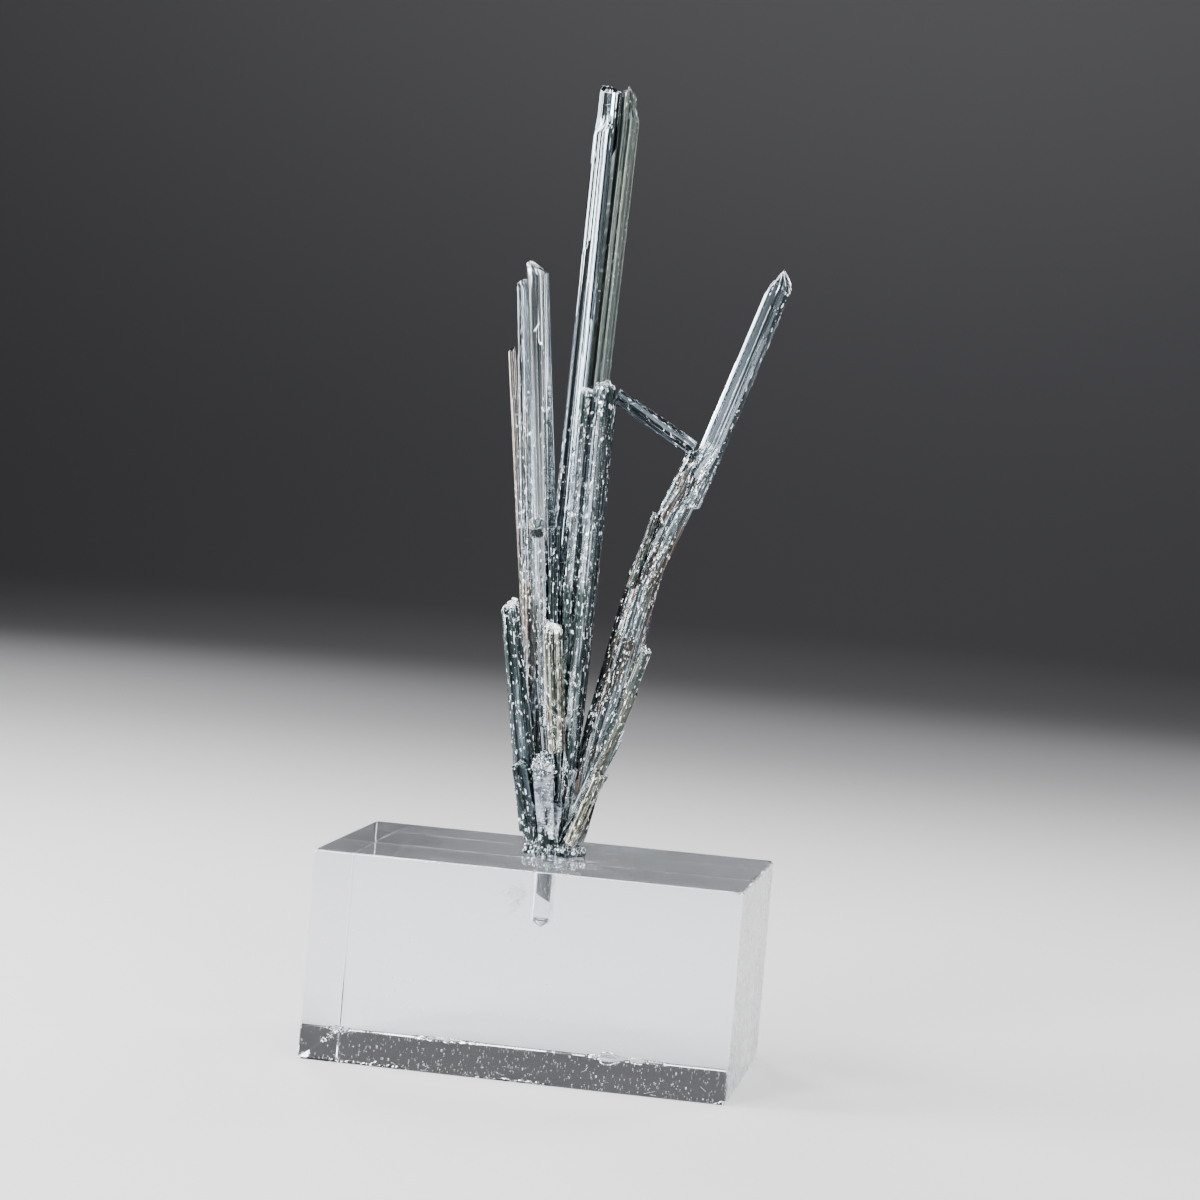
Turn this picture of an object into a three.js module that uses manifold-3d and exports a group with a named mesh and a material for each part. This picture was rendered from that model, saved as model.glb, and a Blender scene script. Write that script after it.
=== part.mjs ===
// A spray of stibnite crystals standing in a clear acrylic display block.
// Millimetres, +Z up. The origin is the centre of the block's bottom face, +X runs along
// the block's length and -Y is the front of the spray.
import * as THREE from "three";
import { mergeVertices } from "three/addons/utils/BufferGeometryUtils.js";
import Module from "manifold-3d";

const wasm = await Module();
wasm.setup();

// Display block: a length of cast acrylic with small polished edge bevels.
const BLOCK_LENGTH = 76.2;
const BLOCK_DEPTH = 50.8;
const BLOCK_HEIGHT = 37.2;
const BLOCK_EDGE = 0.35;

// Blind socket drilled in the block's top face, with the cone that a drill point leaves.
const SOCKET_X = 0.5;
const SOCKET_RADIUS = 2.2;
const SOCKET_DEPTH = 10.7;
const DRILL_POINT_ANGLE = 118;
const GLUE_CLEARANCE = 0.06;

// Clear space between two crystals that touch.
const CRYSTAL_GAP = 0.16;

const TOP = BLOCK_HEIGHT;

// ---------------------------------------------------------------------------------------
// Solids from planes, and joins and cuts.

// The six walls of a room that is larger than the whole object.
const ROOM_REACH = 200;
const ROOM = [0, 1, 2].flatMap((axis) =>
  [-1, 1].map((way) => ({ n: new THREE.Vector3().setComponent(axis, way), d: ROOM_REACH })),
);

// Directions to the faces, edges and corners of a box.
const WAYS = [-1, 0, 1];
const GRID = WAYS.flatMap((x) => WAYS.flatMap((y) => WAYS.map((z) => [x, y, z])));

function vec(p) {
  return new THREE.Vector3(p[0], p[1], p[2]);
}

function plane(normal, point) {
  const n = normal.clone().normalize();
  return { n, d: n.dot(point) };
}

// The closed convex solid behind a list of planes whose normals face out.
function convex(planes) {
  const corners = [];
  const count = planes.length;
  const cross = new THREE.Vector3();
  for (let i = 0; i < count; i += 1) {
    for (let j = i + 1; j < count; j += 1) {
      for (let k = j + 1; k < count; k += 1) {
        const jk = cross.clone().crossVectors(planes[j].n, planes[k].n);
        const det = planes[i].n.dot(jk);
        if (Math.abs(det) < 1e-7) continue;
        const ki = cross.clone().crossVectors(planes[k].n, planes[i].n);
        const ij = cross.clone().crossVectors(planes[i].n, planes[j].n);
        const p = jk.multiplyScalar(planes[i].d);
        p.addScaledVector(ki, planes[j].d).addScaledVector(ij, planes[k].d).divideScalar(det);
        if (planes.some((q) => q.n.dot(p) > q.d + 1e-6)) continue;
        if (corners.every((c) => c.distanceTo(p) > 1e-5)) corners.push(p);
      }
    }
  }
  const position = [];
  for (const face of planes) {
    const ring = corners.filter((c) => Math.abs(face.n.dot(c) - face.d) < 2e-5);
    if (ring.length < 3) continue;
    const middle = new THREE.Vector3();
    ring.forEach((c) => middle.addScaledVector(c, 1 / ring.length));
    const across = ring[0].clone().sub(middle).normalize();
    const up = new THREE.Vector3().crossVectors(face.n, across);
    const turn = (c) => Math.atan2(c.clone().sub(middle).dot(up), c.clone().sub(middle).dot(across));
    ring.sort((a, b) => turn(a) - turn(b));
    for (let i = 1; i + 1 < ring.length; i += 1) {
      for (const c of [ring[0], ring[i], ring[i + 1]]) position.push(c.x, c.y, c.z);
    }
  }
  const geometry = new THREE.BufferGeometry();
  geometry.setAttribute("position", new THREE.Float32BufferAttribute(position, 3));
  return solidOf(geometry);
}

function solidOf(geometry) {
  const bare = new THREE.BufferGeometry();
  bare.setAttribute("position", geometry.getAttribute("position"));
  if (geometry.index) bare.setIndex(geometry.index);
  const merged = mergeVertices(bare.index ? bare.toNonIndexed() : bare, 1e-4);
  return new wasm.Manifold(
    new wasm.Mesh({
      numProp: 3,
      vertProperties: new Float32Array(merged.attributes.position.array),
      triVerts: new Uint32Array(merged.index.array),
    }),
  );
}

function geometryOf(solid) {
  const mesh = solid.getMesh();
  const geometry = new THREE.BufferGeometry();
  const points = new Float32Array(mesh.numVert * 3);
  for (let i = 0; i < mesh.numVert; i += 1) {
    for (let j = 0; j < 3; j += 1) points[i * 3 + j] = mesh.vertProperties[i * mesh.numProp + j];
  }
  geometry.setAttribute("position", new THREE.BufferAttribute(points, 3));
  geometry.setIndex(new THREE.BufferAttribute(new Uint32Array(mesh.triVerts), 1));
  const flat = geometry.toNonIndexed();
  flat.computeVertexNormals();
  return flat;
}

function joined(solids) {
  return solids.reduce((all, one) => all.add(one));
}

// ---------------------------------------------------------------------------------------
// Blades. A blade is a ribbed prism along its axis, cut by its end facets and by the flat
// surfaces where it met its neighbours as it grew.

// Directions of a blade: its axis, and the sides that face front and right.
function axes(foot, tip) {
  const axis = vec(tip).sub(vec(foot)).normalize();
  const front = new THREE.Vector3(0, -1, 0);
  front.addScaledVector(axis, -front.dot(axis)).normalize();
  const right = new THREE.Vector3().crossVectors(axis, front);
  return { axis, front, right };
}

// Direction square to the axis at an angle from the front, turning towards the right.
function facing(frame, degrees) {
  const a = THREE.MathUtils.degToRad(degrees);
  return frame.front
    .clone()
    .multiplyScalar(Math.cos(a))
    .addScaledVector(frame.right, Math.sin(a));
}

// Point of a blade's axis at height z, moved sideways by steps to the right and the front.
function along(crystal, z, right = 0, front = 0) {
  const t = (z - crystal.foot[2]) / (crystal.tip[2] - crystal.foot[2]);
  const p = vec(crystal.foot).lerp(vec(crystal.tip), t);
  const frame = axes(crystal.foot, crystal.tip);
  p.addScaledVector(frame.right, right).addScaledVector(frame.front, front);
  return [p.x, p.y, p.z];
}

// Repeatable small variations for the places and depths of the ribs.
function sequence(seed) {
  let state = seed * 7919;
  return () => {
    state = (state * 16807) % 2147483647;
    return state / 2147483647;
  };
}

// Eight sides of a flat-fronted section: half width, half depth and the corner bevel.
function section(width, depth, bevel) {
  const corner = (angle) => {
    const a = THREE.MathUtils.degToRad(angle);
    return width * Math.abs(Math.sin(a)) + depth * Math.abs(Math.cos(a)) - bevel;
  };
  const turns = [0, 47, 90, 133, 180, 227, 270, 313];
  return turns.map((angle) => [angle, angle % 90 === 0 ? corner(angle) + bevel : corner(angle)]);
}

// Section outline of a blade: sides at [angle, distance], each broken into ribs whose flats
// step in and out by up to the rib depth.
function ribbedShape(sides, ribWidth, ribDepth, seed) {
  const next = sequence(seed);
  const line = sides.map(([angle, distance]) => {
    const a = THREE.MathUtils.degToRad(angle);
    return { x: Math.cos(a), y: Math.sin(a), d: distance };
  });
  const corner = line.map((p, i) => {
    const q = line[(i + 1) % line.length];
    const det = p.x * q.y - p.y * q.x;
    return new THREE.Vector2((p.d * q.y - q.d * p.y) / det, (p.x * q.d - q.x * p.d) / det);
  });
  const outline = [];
  for (let i = 0; i < line.length; i += 1) {
    const from = corner[(i + line.length - 1) % line.length];
    const to = corner[i];
    const ribs = Math.max(1, Math.round(from.distanceTo(to) / ribWidth));
    outline.push(from.clone());
    for (let k = 1; k < ribs; k += 1) {
      const t = (k + 0.4 * (next() - 0.5)) / ribs;
      const inset = ribDepth * (0.4 + 0.6 * next());
      const side = new THREE.Vector2(line[i].x, line[i].y);
      outline.push(from.clone().lerp(to, t).addScaledVector(side, -inset));
      if (k + 1 < ribs) {
        outline.push(from.clone().lerp(to, t + 0.5 / ribs).addScaledVector(side, -inset * 0.1));
      }
    }
  }
  return new THREE.Shape(outline);
}

// One blade. ends holds [angle, slope, drop]: a facet that leans by slope from square-on
// towards the side at angle and crosses the axis at drop below the tip.
function blade({ foot, tip, sides, ends = [], ribs = [1.1, 0.14], seed = 1, cuts = [] }) {
  const frame = axes(foot, tip);
  const length = vec(tip).distanceTo(vec(foot));
  const shape = ribbedShape(sides, ribs[0], ribs[1], seed);
  const geometry = new THREE.ExtrudeGeometry(shape, { depth: length, bevelEnabled: false });
  const place = new THREE.Matrix4().makeBasis(frame.front, frame.right, frame.axis);
  geometry.applyMatrix4(place.setPosition(vec(foot)));
  const limits = [...cuts];
  for (const [angle, slope, drop] of ends) {
    const lean = THREE.MathUtils.degToRad(slope);
    const normal = frame.axis.clone().multiplyScalar(Math.cos(lean));
    normal.addScaledVector(facing(frame, angle), Math.sin(lean));
    limits.push(plane(normal, vec(tip).addScaledVector(frame.axis, -drop)));
  }
  return cut(solidOf(geometry), limits);
}

// The part of a solid behind every one of these planes.
function cut(solid, planes) {
  if (planes.length === 0) return solid;
  return solid.intersect(convex([...planes, ...ROOM]));
}

// Flat contact between crystal a and crystal b, half a gap clear of it on a's side. Each
// holds its foot, its tip and its reach, the half width that shares out the space.
function contact(a, b) {
  const low = Math.max(a.foot[2], b.foot[2]);
  const high = Math.min(a.tip[2], b.tip[2]);
  const share = a.reach / (a.reach + b.reach);
  const ends = [low, high].map((z) => [vec(along(a, z)), vec(along(b, z))]);
  const [first, last] = ends.map(([p, q]) => p.clone().lerp(q, share));
  const line = last.clone().sub(first).normalize();
  const toward = new THREE.Vector3();
  ends.forEach(([p, q]) => toward.add(q.clone().sub(p).normalize()));
  toward.addScaledVector(line, -toward.dot(line)).normalize();
  return plane(toward, first.addScaledVector(toward, -CRYSTAL_GAP / 2));
}

function contacts(a, others) {
  return others.map((b) => contact(a, b));
}

// ---------------------------------------------------------------------------------------
// The axes of the crystals: foot, tip and reach. They fan out from the root, which stands
// over the socket.

const ROOT = { foot: [0.5, 0, 37.4], tip: [-0.9, 0, 62], reach: 3.4 };
const TALL = { foot: [-2.2, 1.6, 47.2], tip: [0.6, 4.6, 177.0], reach: 3.6 };
const CENTRE = { foot: [0.9, -1.6, 47.2], tip: [2.8, -6.2, 124.0], reach: 3.1 };
const LEFT_BRIGHT = { foot: [-1.6, -2.2, 60.0], tip: [-10.0, -8.0, 144.7], reach: 1.9 };
const LEFT_BROWN = { foot: [-3.2, 0.8, 47.2], tip: [-14.1, 7.5, 142.2], reach: 2.5 };
const LEFT_SLIVER = { foot: [-7.7, 3.0, 69.9], tip: [-16.4, 8.6, 128.9], reach: 0.7 };
const INNER_SHORT = { foot: [-1.0, -3.4, 62.0], tip: [-3.2, -5.4, 97.0], reach: 1.2 };
const FRONT_PALE = { foot: [0.3, -4.5, 56.4], tip: [-1.9, -7.8, 80.0], reach: 1.7 };
const RIGHT_LOWER = { foot: [3.0, 0.2, 40.2], tip: [14.5, -3.6, 95.0], reach: 3.0 };
const RIGHT_MIDDLE = { foot: [10.0, -2.9, 81.0], tip: [23.3, -5.2, 114.6], reach: 2.6 };
const RIGHT_UPPER = { foot: [20.3, -4.4, 102.6], tip: [34.8, -8.0, 145.6], reach: 2.4 };
const RIGHT_SLIVER = { foot: [11.0, -4.6, 87.0], tip: [14.9, -5.8, 100.8], reach: 0.8 };
const RIGHT_SHORT = { foot: [3.9, -3.2, 41.0], tip: [15.6, -9.0, 77.1], reach: 1.7 };
const LOWER_RIGHT = { foot: [4.0, -4.6, 40.2], tip: [8.9, -7.6, 53.7], reach: 1.1 };
const LEFT_STUB = { foot: [-4.1, -1.4, 41.5], tip: [-10.4, -6.4, 83.6], reach: 1.8 };
const LOWER_LEFT = { foot: [-3.3, -3.2, 40.2], tip: [-6.3, -6.6, 54.4], reach: 1.3 };
const RIGHT_BACK = { foot: [5.2, 1.6, 62.0], tip: [9.0, 4.4, 84.1], reach: 0.8 };
const FROSTED_FACE = { foot: [-0.7, -3.2, 37.6], tip: [-2.2, -4.3, 56.1], reach: 1.3 };
const BACK_SPLINTER = { foot: [10.1, 2.2, 63.9], tip: [13.2, 4.6, 83.5], reach: 0.9 };
const BRIDGE_REST = { foot: [15.9, -5.0, 105.0], tip: [20.0, -5.2, 115.0], reach: 0.2 };
const BRIDGE = { foot: [20.8, -5.2, 112.5], tip: [6.6, -6.0, 120.7], reach: 1.4 };

// ---------------------------------------------------------------------------------------
// The crystals.

function tallCrystal() {
  const cuts = contacts(TALL, [CENTRE, LEFT_BRIGHT, LEFT_BROWN]);
  const at = (right, front, top) => ({
    foot: along(TALL, TALL.foot[2], right * 0.7, front),
    tip: along(TALL, top, right, front),
    cuts,
  });
  return joined([
    blade({
      ...at(-1.8, 0.1, 177.3),
      sides: section(1.95, 2.3, 0.6),
      ends: [[90, 24, 0.6], [-120, 14, 0.1], [0, 30, 0.7]],
      seed: 3,
    }),
    blade({
      ...at(-2.1, 1.1, 170.6),
      sides: section(1.9, 1.9, 0.6),
      ends: [[-50, 26, 0.6]],
      seed: 4,
    }),
    blade({
      ...at(1.6, -0.3, 177.1),
      sides: section(1.4, 2.2, 0.8),
      ends: [[100, 42, 0.5], [-100, 36, 0.5]],
      seed: 5,
    }),
    blade({
      ...at(2.7, -0.2, 174.2),
      sides: section(1.3, 2.0, 0.8),
      ends: [[80, 46, 1.2], [-20, 12, 0.3]],
      seed: 6,
    }),
  ]);
}

function centreCrystal() {
  const close = [TALL, LEFT_BRIGHT, INNER_SHORT, FRONT_PALE, RIGHT_LOWER, FROSTED_FACE];
  const cuts = contacts(CENTRE, close);
  const at = (right, front, top) => ({
    foot: along(CENTRE, CENTRE.foot[2], right * 0.75, front * 0.8),
    tip: along(CENTRE, top, right, front),
    cuts,
  });
  return joined([
    blade({
      ...at(-1.9, 0.2, 122.6),
      sides: section(1.5, 2.2, 0.6),
      ends: [[-30, 22, 0.3], [150, 30, 0.4]],
      seed: 7,
    }),
    blade({
      ...at(1.2, 0.5, 124.2),
      sides: section(1.75, 2.2, 0.8),
      ends: [[70, 34, 0.5], [-110, 20, 0.4], [0, 25, 0.5]],
      seed: 8,
    }),
    blade({
      ...at(2.1, -0.7, 121.2),
      sides: section(1.25, 1.8, 0.6),
      ends: [[90, 28, 0.4]],
      seed: 9,
    }),
  ]);
}

function leftBrightCrystal() {
  const cuts = contacts(LEFT_BRIGHT, [TALL, CENTRE, LEFT_BROWN, INNER_SHORT, FRONT_PALE]);
  return joined([
    blade({
      ...LEFT_BRIGHT,
      sides: section(1.9, 1.7, 0.6),
      ends: [[80, 44, 1.6], [-75, 26, 0.3], [180, 40, 1.2]],
      ribs: [1.3, 0.1],
      seed: 10,
      cuts,
    }),
    blade({
      foot: [-6.1, -4.7, 94.4],
      tip: [-6.6, -8.0, 97.3],
      sides: section(1.3, 1.3, 0.25),
      ends: [[0, 12, 0.2]],
      ribs: [0.8, 0.08],
      seed: 11,
    }),
  ]);
}

function leftBrownCrystal() {
  const cuts = contacts(LEFT_BROWN, [TALL, LEFT_BRIGHT, LEFT_SLIVER, LEFT_STUB]);
  return joined([
    blade({
      ...LEFT_BROWN,
      sides: section(2.3, 2.1, 0.8),
      ends: [[-80, 30, 0.6], [60, 40, 1.4], [180, 25, 0.8]],
      seed: 12,
      cuts,
    }),
    blade({
      foot: along(LEFT_BROWN, LEFT_BROWN.foot[2], 0.5, -1.2),
      tip: along(LEFT_BROWN, 134.5, 1.2, -1.4),
      sides: section(1.6, 1.6, 0.5),
      ends: [[180, 40, 0.4]],
      seed: 13,
      cuts,
    }),
  ]);
}

function leftSliverCrystal() {
  return blade({
    ...LEFT_SLIVER,
    sides: section(0.62, 0.8, 0.25),
    ends: [[40, 55, 0.4], [-90, 50, 0.6]],
    ribs: [0.7, 0.06],
    seed: 14,
    cuts: contacts(LEFT_SLIVER, [LEFT_BROWN]),
  });
}

function innerShortCrystal() {
  return blade({
    ...INNER_SHORT,
    sides: section(1.2, 1.2, 0.4),
    ends: [[20, 15, 0.1]],
    ribs: [0.8, 0.08],
    seed: 15,
    cuts: contacts(INNER_SHORT, [LEFT_BRIGHT, CENTRE, FRONT_PALE, TALL]),
  });
}

function frontPaleCrystal() {
  const cuts = contacts(FRONT_PALE, [CENTRE, LEFT_BRIGHT, INNER_SHORT]);
  return joined([
    blade({
      ...FRONT_PALE,
      sides: section(1.7, 1.2, 0.5),
      ends: [[0, 50, 0.7], [90, 20, 0.2]],
      ribs: [0.9, 0.1],
      seed: 16,
      cuts,
    }),
    blade({
      foot: along(FRONT_PALE, FRONT_PALE.foot[2], -0.5, 0.5),
      tip: along(FRONT_PALE, 77.0, -0.6, 0.6),
      sides: section(1.0, 1.0, 0.3),
      ends: [[0, 30, 0.3]],
      ribs: [0.9, 0.1],
      seed: 17,
      cuts,
    }),
  ]);
}

function rightCrystal() {
  const close = [CENTRE, TALL, RIGHT_SHORT, LOWER_RIGHT, ROOT, FROSTED_FACE, RIGHT_BACK, BACK_SPLINTER];
  const low = contacts(RIGHT_LOWER, close);
  const side = contacts(RIGHT_LOWER, [RIGHT_SLIVER]);
  return joined([
    blade({
      ...RIGHT_LOWER,
      sides: section(3.1, 2.3, 1.0),
      ends: [[-90, 42, 1.8], [60, 30, 1.2]],
      seed: 18,
      cuts: [...low, ...side],
    }),
    blade({
      ...RIGHT_MIDDLE,
      sides: section(2.8, 1.95, 0.9),
      ends: [[-90, 40, 1.6], [0, 30, 1.0]],
      seed: 19,
      cuts: [contact(RIGHT_LOWER, RIGHT_BACK), plane(vec([-1, 0, 0]), vec([10.3, 0, 0])), ...side],
    }),
    blade({
      ...RIGHT_UPPER,
      sides: section(2.2, 2.0, 0.85),
      ends: [[-78, 72, -1.5], [78, 54, 0.7], [180, 50, 0.4]],
      seed: 20,
    }),
  ]);
}

function rightSliverCrystal() {
  return blade({
    ...RIGHT_SLIVER,
    sides: section(0.8, 0.8, 0.25),
    ends: [[30, 20, 0.1]],
    ribs: [0.7, 0.06],
    seed: 21,
    cuts: contacts(RIGHT_SLIVER, [RIGHT_LOWER]),
  });
}

function rightShortCrystal() {
  const cuts = contacts(RIGHT_SHORT, [RIGHT_LOWER, LOWER_RIGHT, ROOT, FROSTED_FACE]);
  return joined([
    blade({
      ...RIGHT_SHORT,
      sides: section(1.25, 1.4, 0.5),
      ends: [[90, 32, 0.2], [0, 20, 0.3]],
      ribs: [0.9, 0.1],
      seed: 22,
      cuts,
    }),
    blade({
      foot: along(RIGHT_SHORT, RIGHT_SHORT.foot[2], 0.2, 0.2),
      tip: along(RIGHT_SHORT, 69.4, 0.8, 0.2),
      sides: section(1.0, 1.4, 0.4),
      ends: [[60, 35, 0.4]],
      ribs: [0.9, 0.1],
      seed: 23,
      cuts,
    }),
  ]);
}

function lowerRightCrystal() {
  return blade({
    ...LOWER_RIGHT,
    sides: section(1.1, 1.1, 0.4),
    ends: [[90, 25, 0.1], [0, 18, 0.2]],
    ribs: [0.8, 0.07],
    seed: 24,
    cuts: contacts(LOWER_RIGHT, [RIGHT_SHORT, RIGHT_LOWER, ROOT, FROSTED_FACE]),
  });
}

function leftStubCrystal() {
  return blade({
    ...LEFT_STUB,
    sides: section(1.8, 1.7, 0.6),
    ends: [[-80, 40, 0.6], [100, 12, 0.1], [0, 30, 0.4]],
    ribs: [0.9, 0.14],
    seed: 25,
    cuts: contacts(LEFT_STUB, [LEFT_BROWN, LEFT_BRIGHT, LOWER_LEFT, ROOT, FROSTED_FACE]),
  });
}

function lowerLeftCrystal() {
  return blade({
    ...LOWER_LEFT,
    sides: section(1.35, 1.25, 0.45),
    ends: [[-90, 26, 0.1], [60, 18, 0.2]],
    ribs: [0.8, 0.08],
    seed: 26,
    cuts: contacts(LOWER_LEFT, [LEFT_STUB, ROOT, FROSTED_FACE]),
  });
}

function rightBackBlade() {
  return blade({
    ...RIGHT_BACK,
    sides: section(0.9, 0.8, 0.3),
    ends: [[90, 50, 0.6], [0, 30, 0.5]],
    ribs: [0.8, 0.06],
    seed: 27,
    cuts: contacts(RIGHT_BACK, [RIGHT_LOWER, TALL, BACK_SPLINTER]),
  });
}

function backSplinter() {
  return blade({
    ...BACK_SPLINTER,
    sides: section(1.3, 0.5, 0.2),
    ends: [[-90, 60, 0.5], [90, 40, 0.3]],
    ribs: [0.8, 0.05],
    seed: 28,
    cuts: contacts(BACK_SPLINTER, [RIGHT_LOWER, RIGHT_BACK]),
  });
}

function bridgeCrystal() {
  return blade({
    ...BRIDGE,
    sides: section(1.45, 1.0, 0.4),
    ends: [[-30, 10, 0.2]],
    ribs: [0.8, 0.09],
    seed: 29,
    cuts: contacts(BRIDGE_REST, [RIGHT_UPPER, RIGHT_MIDDLE]),
  });
}

// Crystals that stand against the flanks of the root.
const FLANKS = [RIGHT_LOWER, RIGHT_SHORT, LOWER_RIGHT, LEFT_STUB, LOWER_LEFT];

// The dark common foot: the stem in the socket, the core, the frosted front face and the
// knobs round the base.
const STEM_RADIUS = 1.45;
const STEM_LENGTH = 7.6;
const KNOBS = 11;
const KNOB_RING = [4.9, 3.9];

function knob(index) {
  const next = sequence(40 + index);
  const turn = (index / KNOBS) * Math.PI * 2 + 0.25 * next();
  const size = 0.85 + 0.45 * next();
  const middle = new THREE.Vector3(
    0.3 + KNOB_RING[0] * Math.cos(turn),
    KNOB_RING[1] * Math.sin(turn),
    TOP + 0.75 + 0.5 * next(),
  );
  const shape = new THREE.IcosahedronGeometry(size, 0);
  shape.rotateX(next() * 3).rotateZ(next() * 3).scale(1.1, 1.0, 1.1);
  shape.translate(middle.x, middle.y, middle.z);
  return solidOf(shape);
}

function rootMass() {
  const stem = blade({
    foot: [SOCKET_X + 0.25, 0.2, TOP - STEM_LENGTH],
    tip: [SOCKET_X, 0, TOP + 1.5],
    sides: section(STEM_RADIUS, STEM_RADIUS * 0.9, 0.5),
    ribs: [0.9, 0.08],
    seed: 31,
    cuts: [plane(vec([-0.5, 0, -1]), vec([SOCKET_X, 0, TOP - STEM_LENGTH + 0.9]))],
  });
  const core = blade({
    foot: [0.5, 0, TOP - 1],
    tip: [-0.1, 0, 47.0],
    sides: section(3.5, 3.5, 1.2),
    seed: 32,
    cuts: contacts(ROOT, FLANKS),
  });
  const face = blade({
    ...FROSTED_FACE,
    sides: section(2.6, 1.3, 0.5),
    ends: [[60, 30, 0.8], [-80, 22, 0.6], [0, 35, 1.0]],
    ribs: [1.3, 0.06],
    seed: 33,
    cuts: contacts(FROSTED_FACE, [CENTRE, ...FLANKS]),
  });
  const collar = blade({
    foot: [0.3, 0, TOP - 1],
    tip: [0.3, 0, TOP + 1.9],
    sides: section(4.7, 4.1, 1.9),
    ribs: [1.2, 0.2],
    seed: 34,
  });
  const knobs = Array.from({ length: KNOBS }, (_, i) => knob(i));
  const seat = plane(vec([0, 0, -1]), vec([0, 0, TOP + 0.06]));
  const ledge = plane(vec([0, 0, 1]), vec([0, 0, TOP + 2.7]));
  const base = cut(joined([collar, ...knobs]), [seat, ledge]);
  return joined([stem, cut(joined([core, face]), [seat]), base]);
}

// ---------------------------------------------------------------------------------------
// The display block and the cement in its socket.

// Closed profile of the drilled socket, wider or narrower than the drill by the allowance.
function socketSolid(allowance, top) {
  const radius = SOCKET_RADIUS + allowance;
  const shoulder = TOP - SOCKET_DEPTH;
  const cone = radius / Math.tan(THREE.MathUtils.degToRad(DRILL_POINT_ANGLE / 2));
  const profile = [
    new THREE.Vector2(0, shoulder - cone),
    new THREE.Vector2(radius, shoulder),
    new THREE.Vector2(radius, top),
    new THREE.Vector2(0, top),
  ];
  const shape = new THREE.LatheGeometry(profile, 48);
  shape.rotateX(Math.PI / 2).translate(SOCKET_X, 0, 0);
  return solidOf(shape);
}

function acrylicBlock() {
  const half = [BLOCK_LENGTH / 2, BLOCK_DEPTH / 2, BLOCK_HEIGHT / 2];
  const planes = [];
  for (const [x, y, z] of GRID) {
    const bevels = [x, y, z].filter((way) => way !== 0).length;
    if (bevels === 0) continue;
    const normal = vec([x, y, z]);
    const reach = half[0] * Math.abs(x) + half[1] * Math.abs(y) + half[2] * Math.abs(z);
    const distance = (reach - BLOCK_EDGE * [0, 0, 1, 1.6][bevels]) / normal.length();
    normal.normalize();
    planes.push({ n: normal, d: distance + normal.z * half[2] });
  }
  return convex(planes).subtract(socketSolid(0, TOP + 1));
}

function socketGlue() {
  const stemRoom = blade({
    foot: [SOCKET_X + 0.25, 0.2, TOP - STEM_LENGTH - 0.1],
    tip: [SOCKET_X, 0, TOP + 1.5],
    sides: section(STEM_RADIUS + 0.1, STEM_RADIUS * 0.9 + 0.1, 0.5),
    ribs: [9, 0],
  });
  return socketSolid(-GLUE_CLEARANCE, TOP - 0.05).subtract(stemRoom);
}

// ---------------------------------------------------------------------------------------
// The scene graph.

const STIBNITE = { metalness: 0.9, roughness: 0.3 };

function part(name, solid, color, look = STIBNITE) {
  const material = new THREE.MeshStandardMaterial({ color, ...look });
  const mesh = new THREE.Mesh(geometryOf(solid), material);
  mesh.name = name;
  return mesh;
}

const spray = new THREE.Group();
spray.name = "stibnite_spray";
spray.add(
  part("acrylic_block", acrylicBlock(), "#e6ebf0", { metalness: 0, roughness: 0.05 }),
  part("socket_glue", socketGlue(), "#d8dce2", { metalness: 0, roughness: 0.2 }),
  part("root_mass", rootMass(), "#79838f", { metalness: 0.8, roughness: 0.5 }),
  part("tall_crystal", tallCrystal(), "#8b99a8"),
  part("centre_crystal", centreCrystal(), "#7d8994"),
  part("left_bright_crystal", leftBrightCrystal(), "#a9b8c8"),
  part("left_brown_crystal", leftBrownCrystal(), "#857c78"),
  part("left_sliver", leftSliverCrystal(), "#5b5d60"),
  part("inner_short_crystal", innerShortCrystal(), "#6d7880"),
  part("front_pale_blade", frontPaleCrystal(), "#a5a898"),
  part("right_crystal", rightCrystal(), "#8995a1"),
  part("right_sliver", rightSliverCrystal(), "#5f5f52"),
  part("right_short_crystal", rightShortCrystal(), "#77837f"),
  part("lower_right_stub", lowerRightCrystal(), "#85867a"),
  part("left_stub", leftStubCrystal(), "#4b5357"),
  part("lower_left_stub", lowerLeftCrystal(), "#5a646b"),
  part("right_back_blade", rightBackBlade(), "#3f4448"),
  part("back_splinter", backSplinter(), "#5a5366"),
  part("bridge_crystal", bridgeCrystal(), "#8d979f"),
);

export default spray;
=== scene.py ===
"""A spray of stibnite crystals cemented in a clear acrylic display block.

Sizes are in millimetres and become metres where a mesh is made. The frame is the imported
model's: origin at the centre of the block's bottom face, +Z up, the spray's front at -Y.
"""
import math

import bpy
import numpy as np
from mathutils import Matrix, Vector


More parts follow.
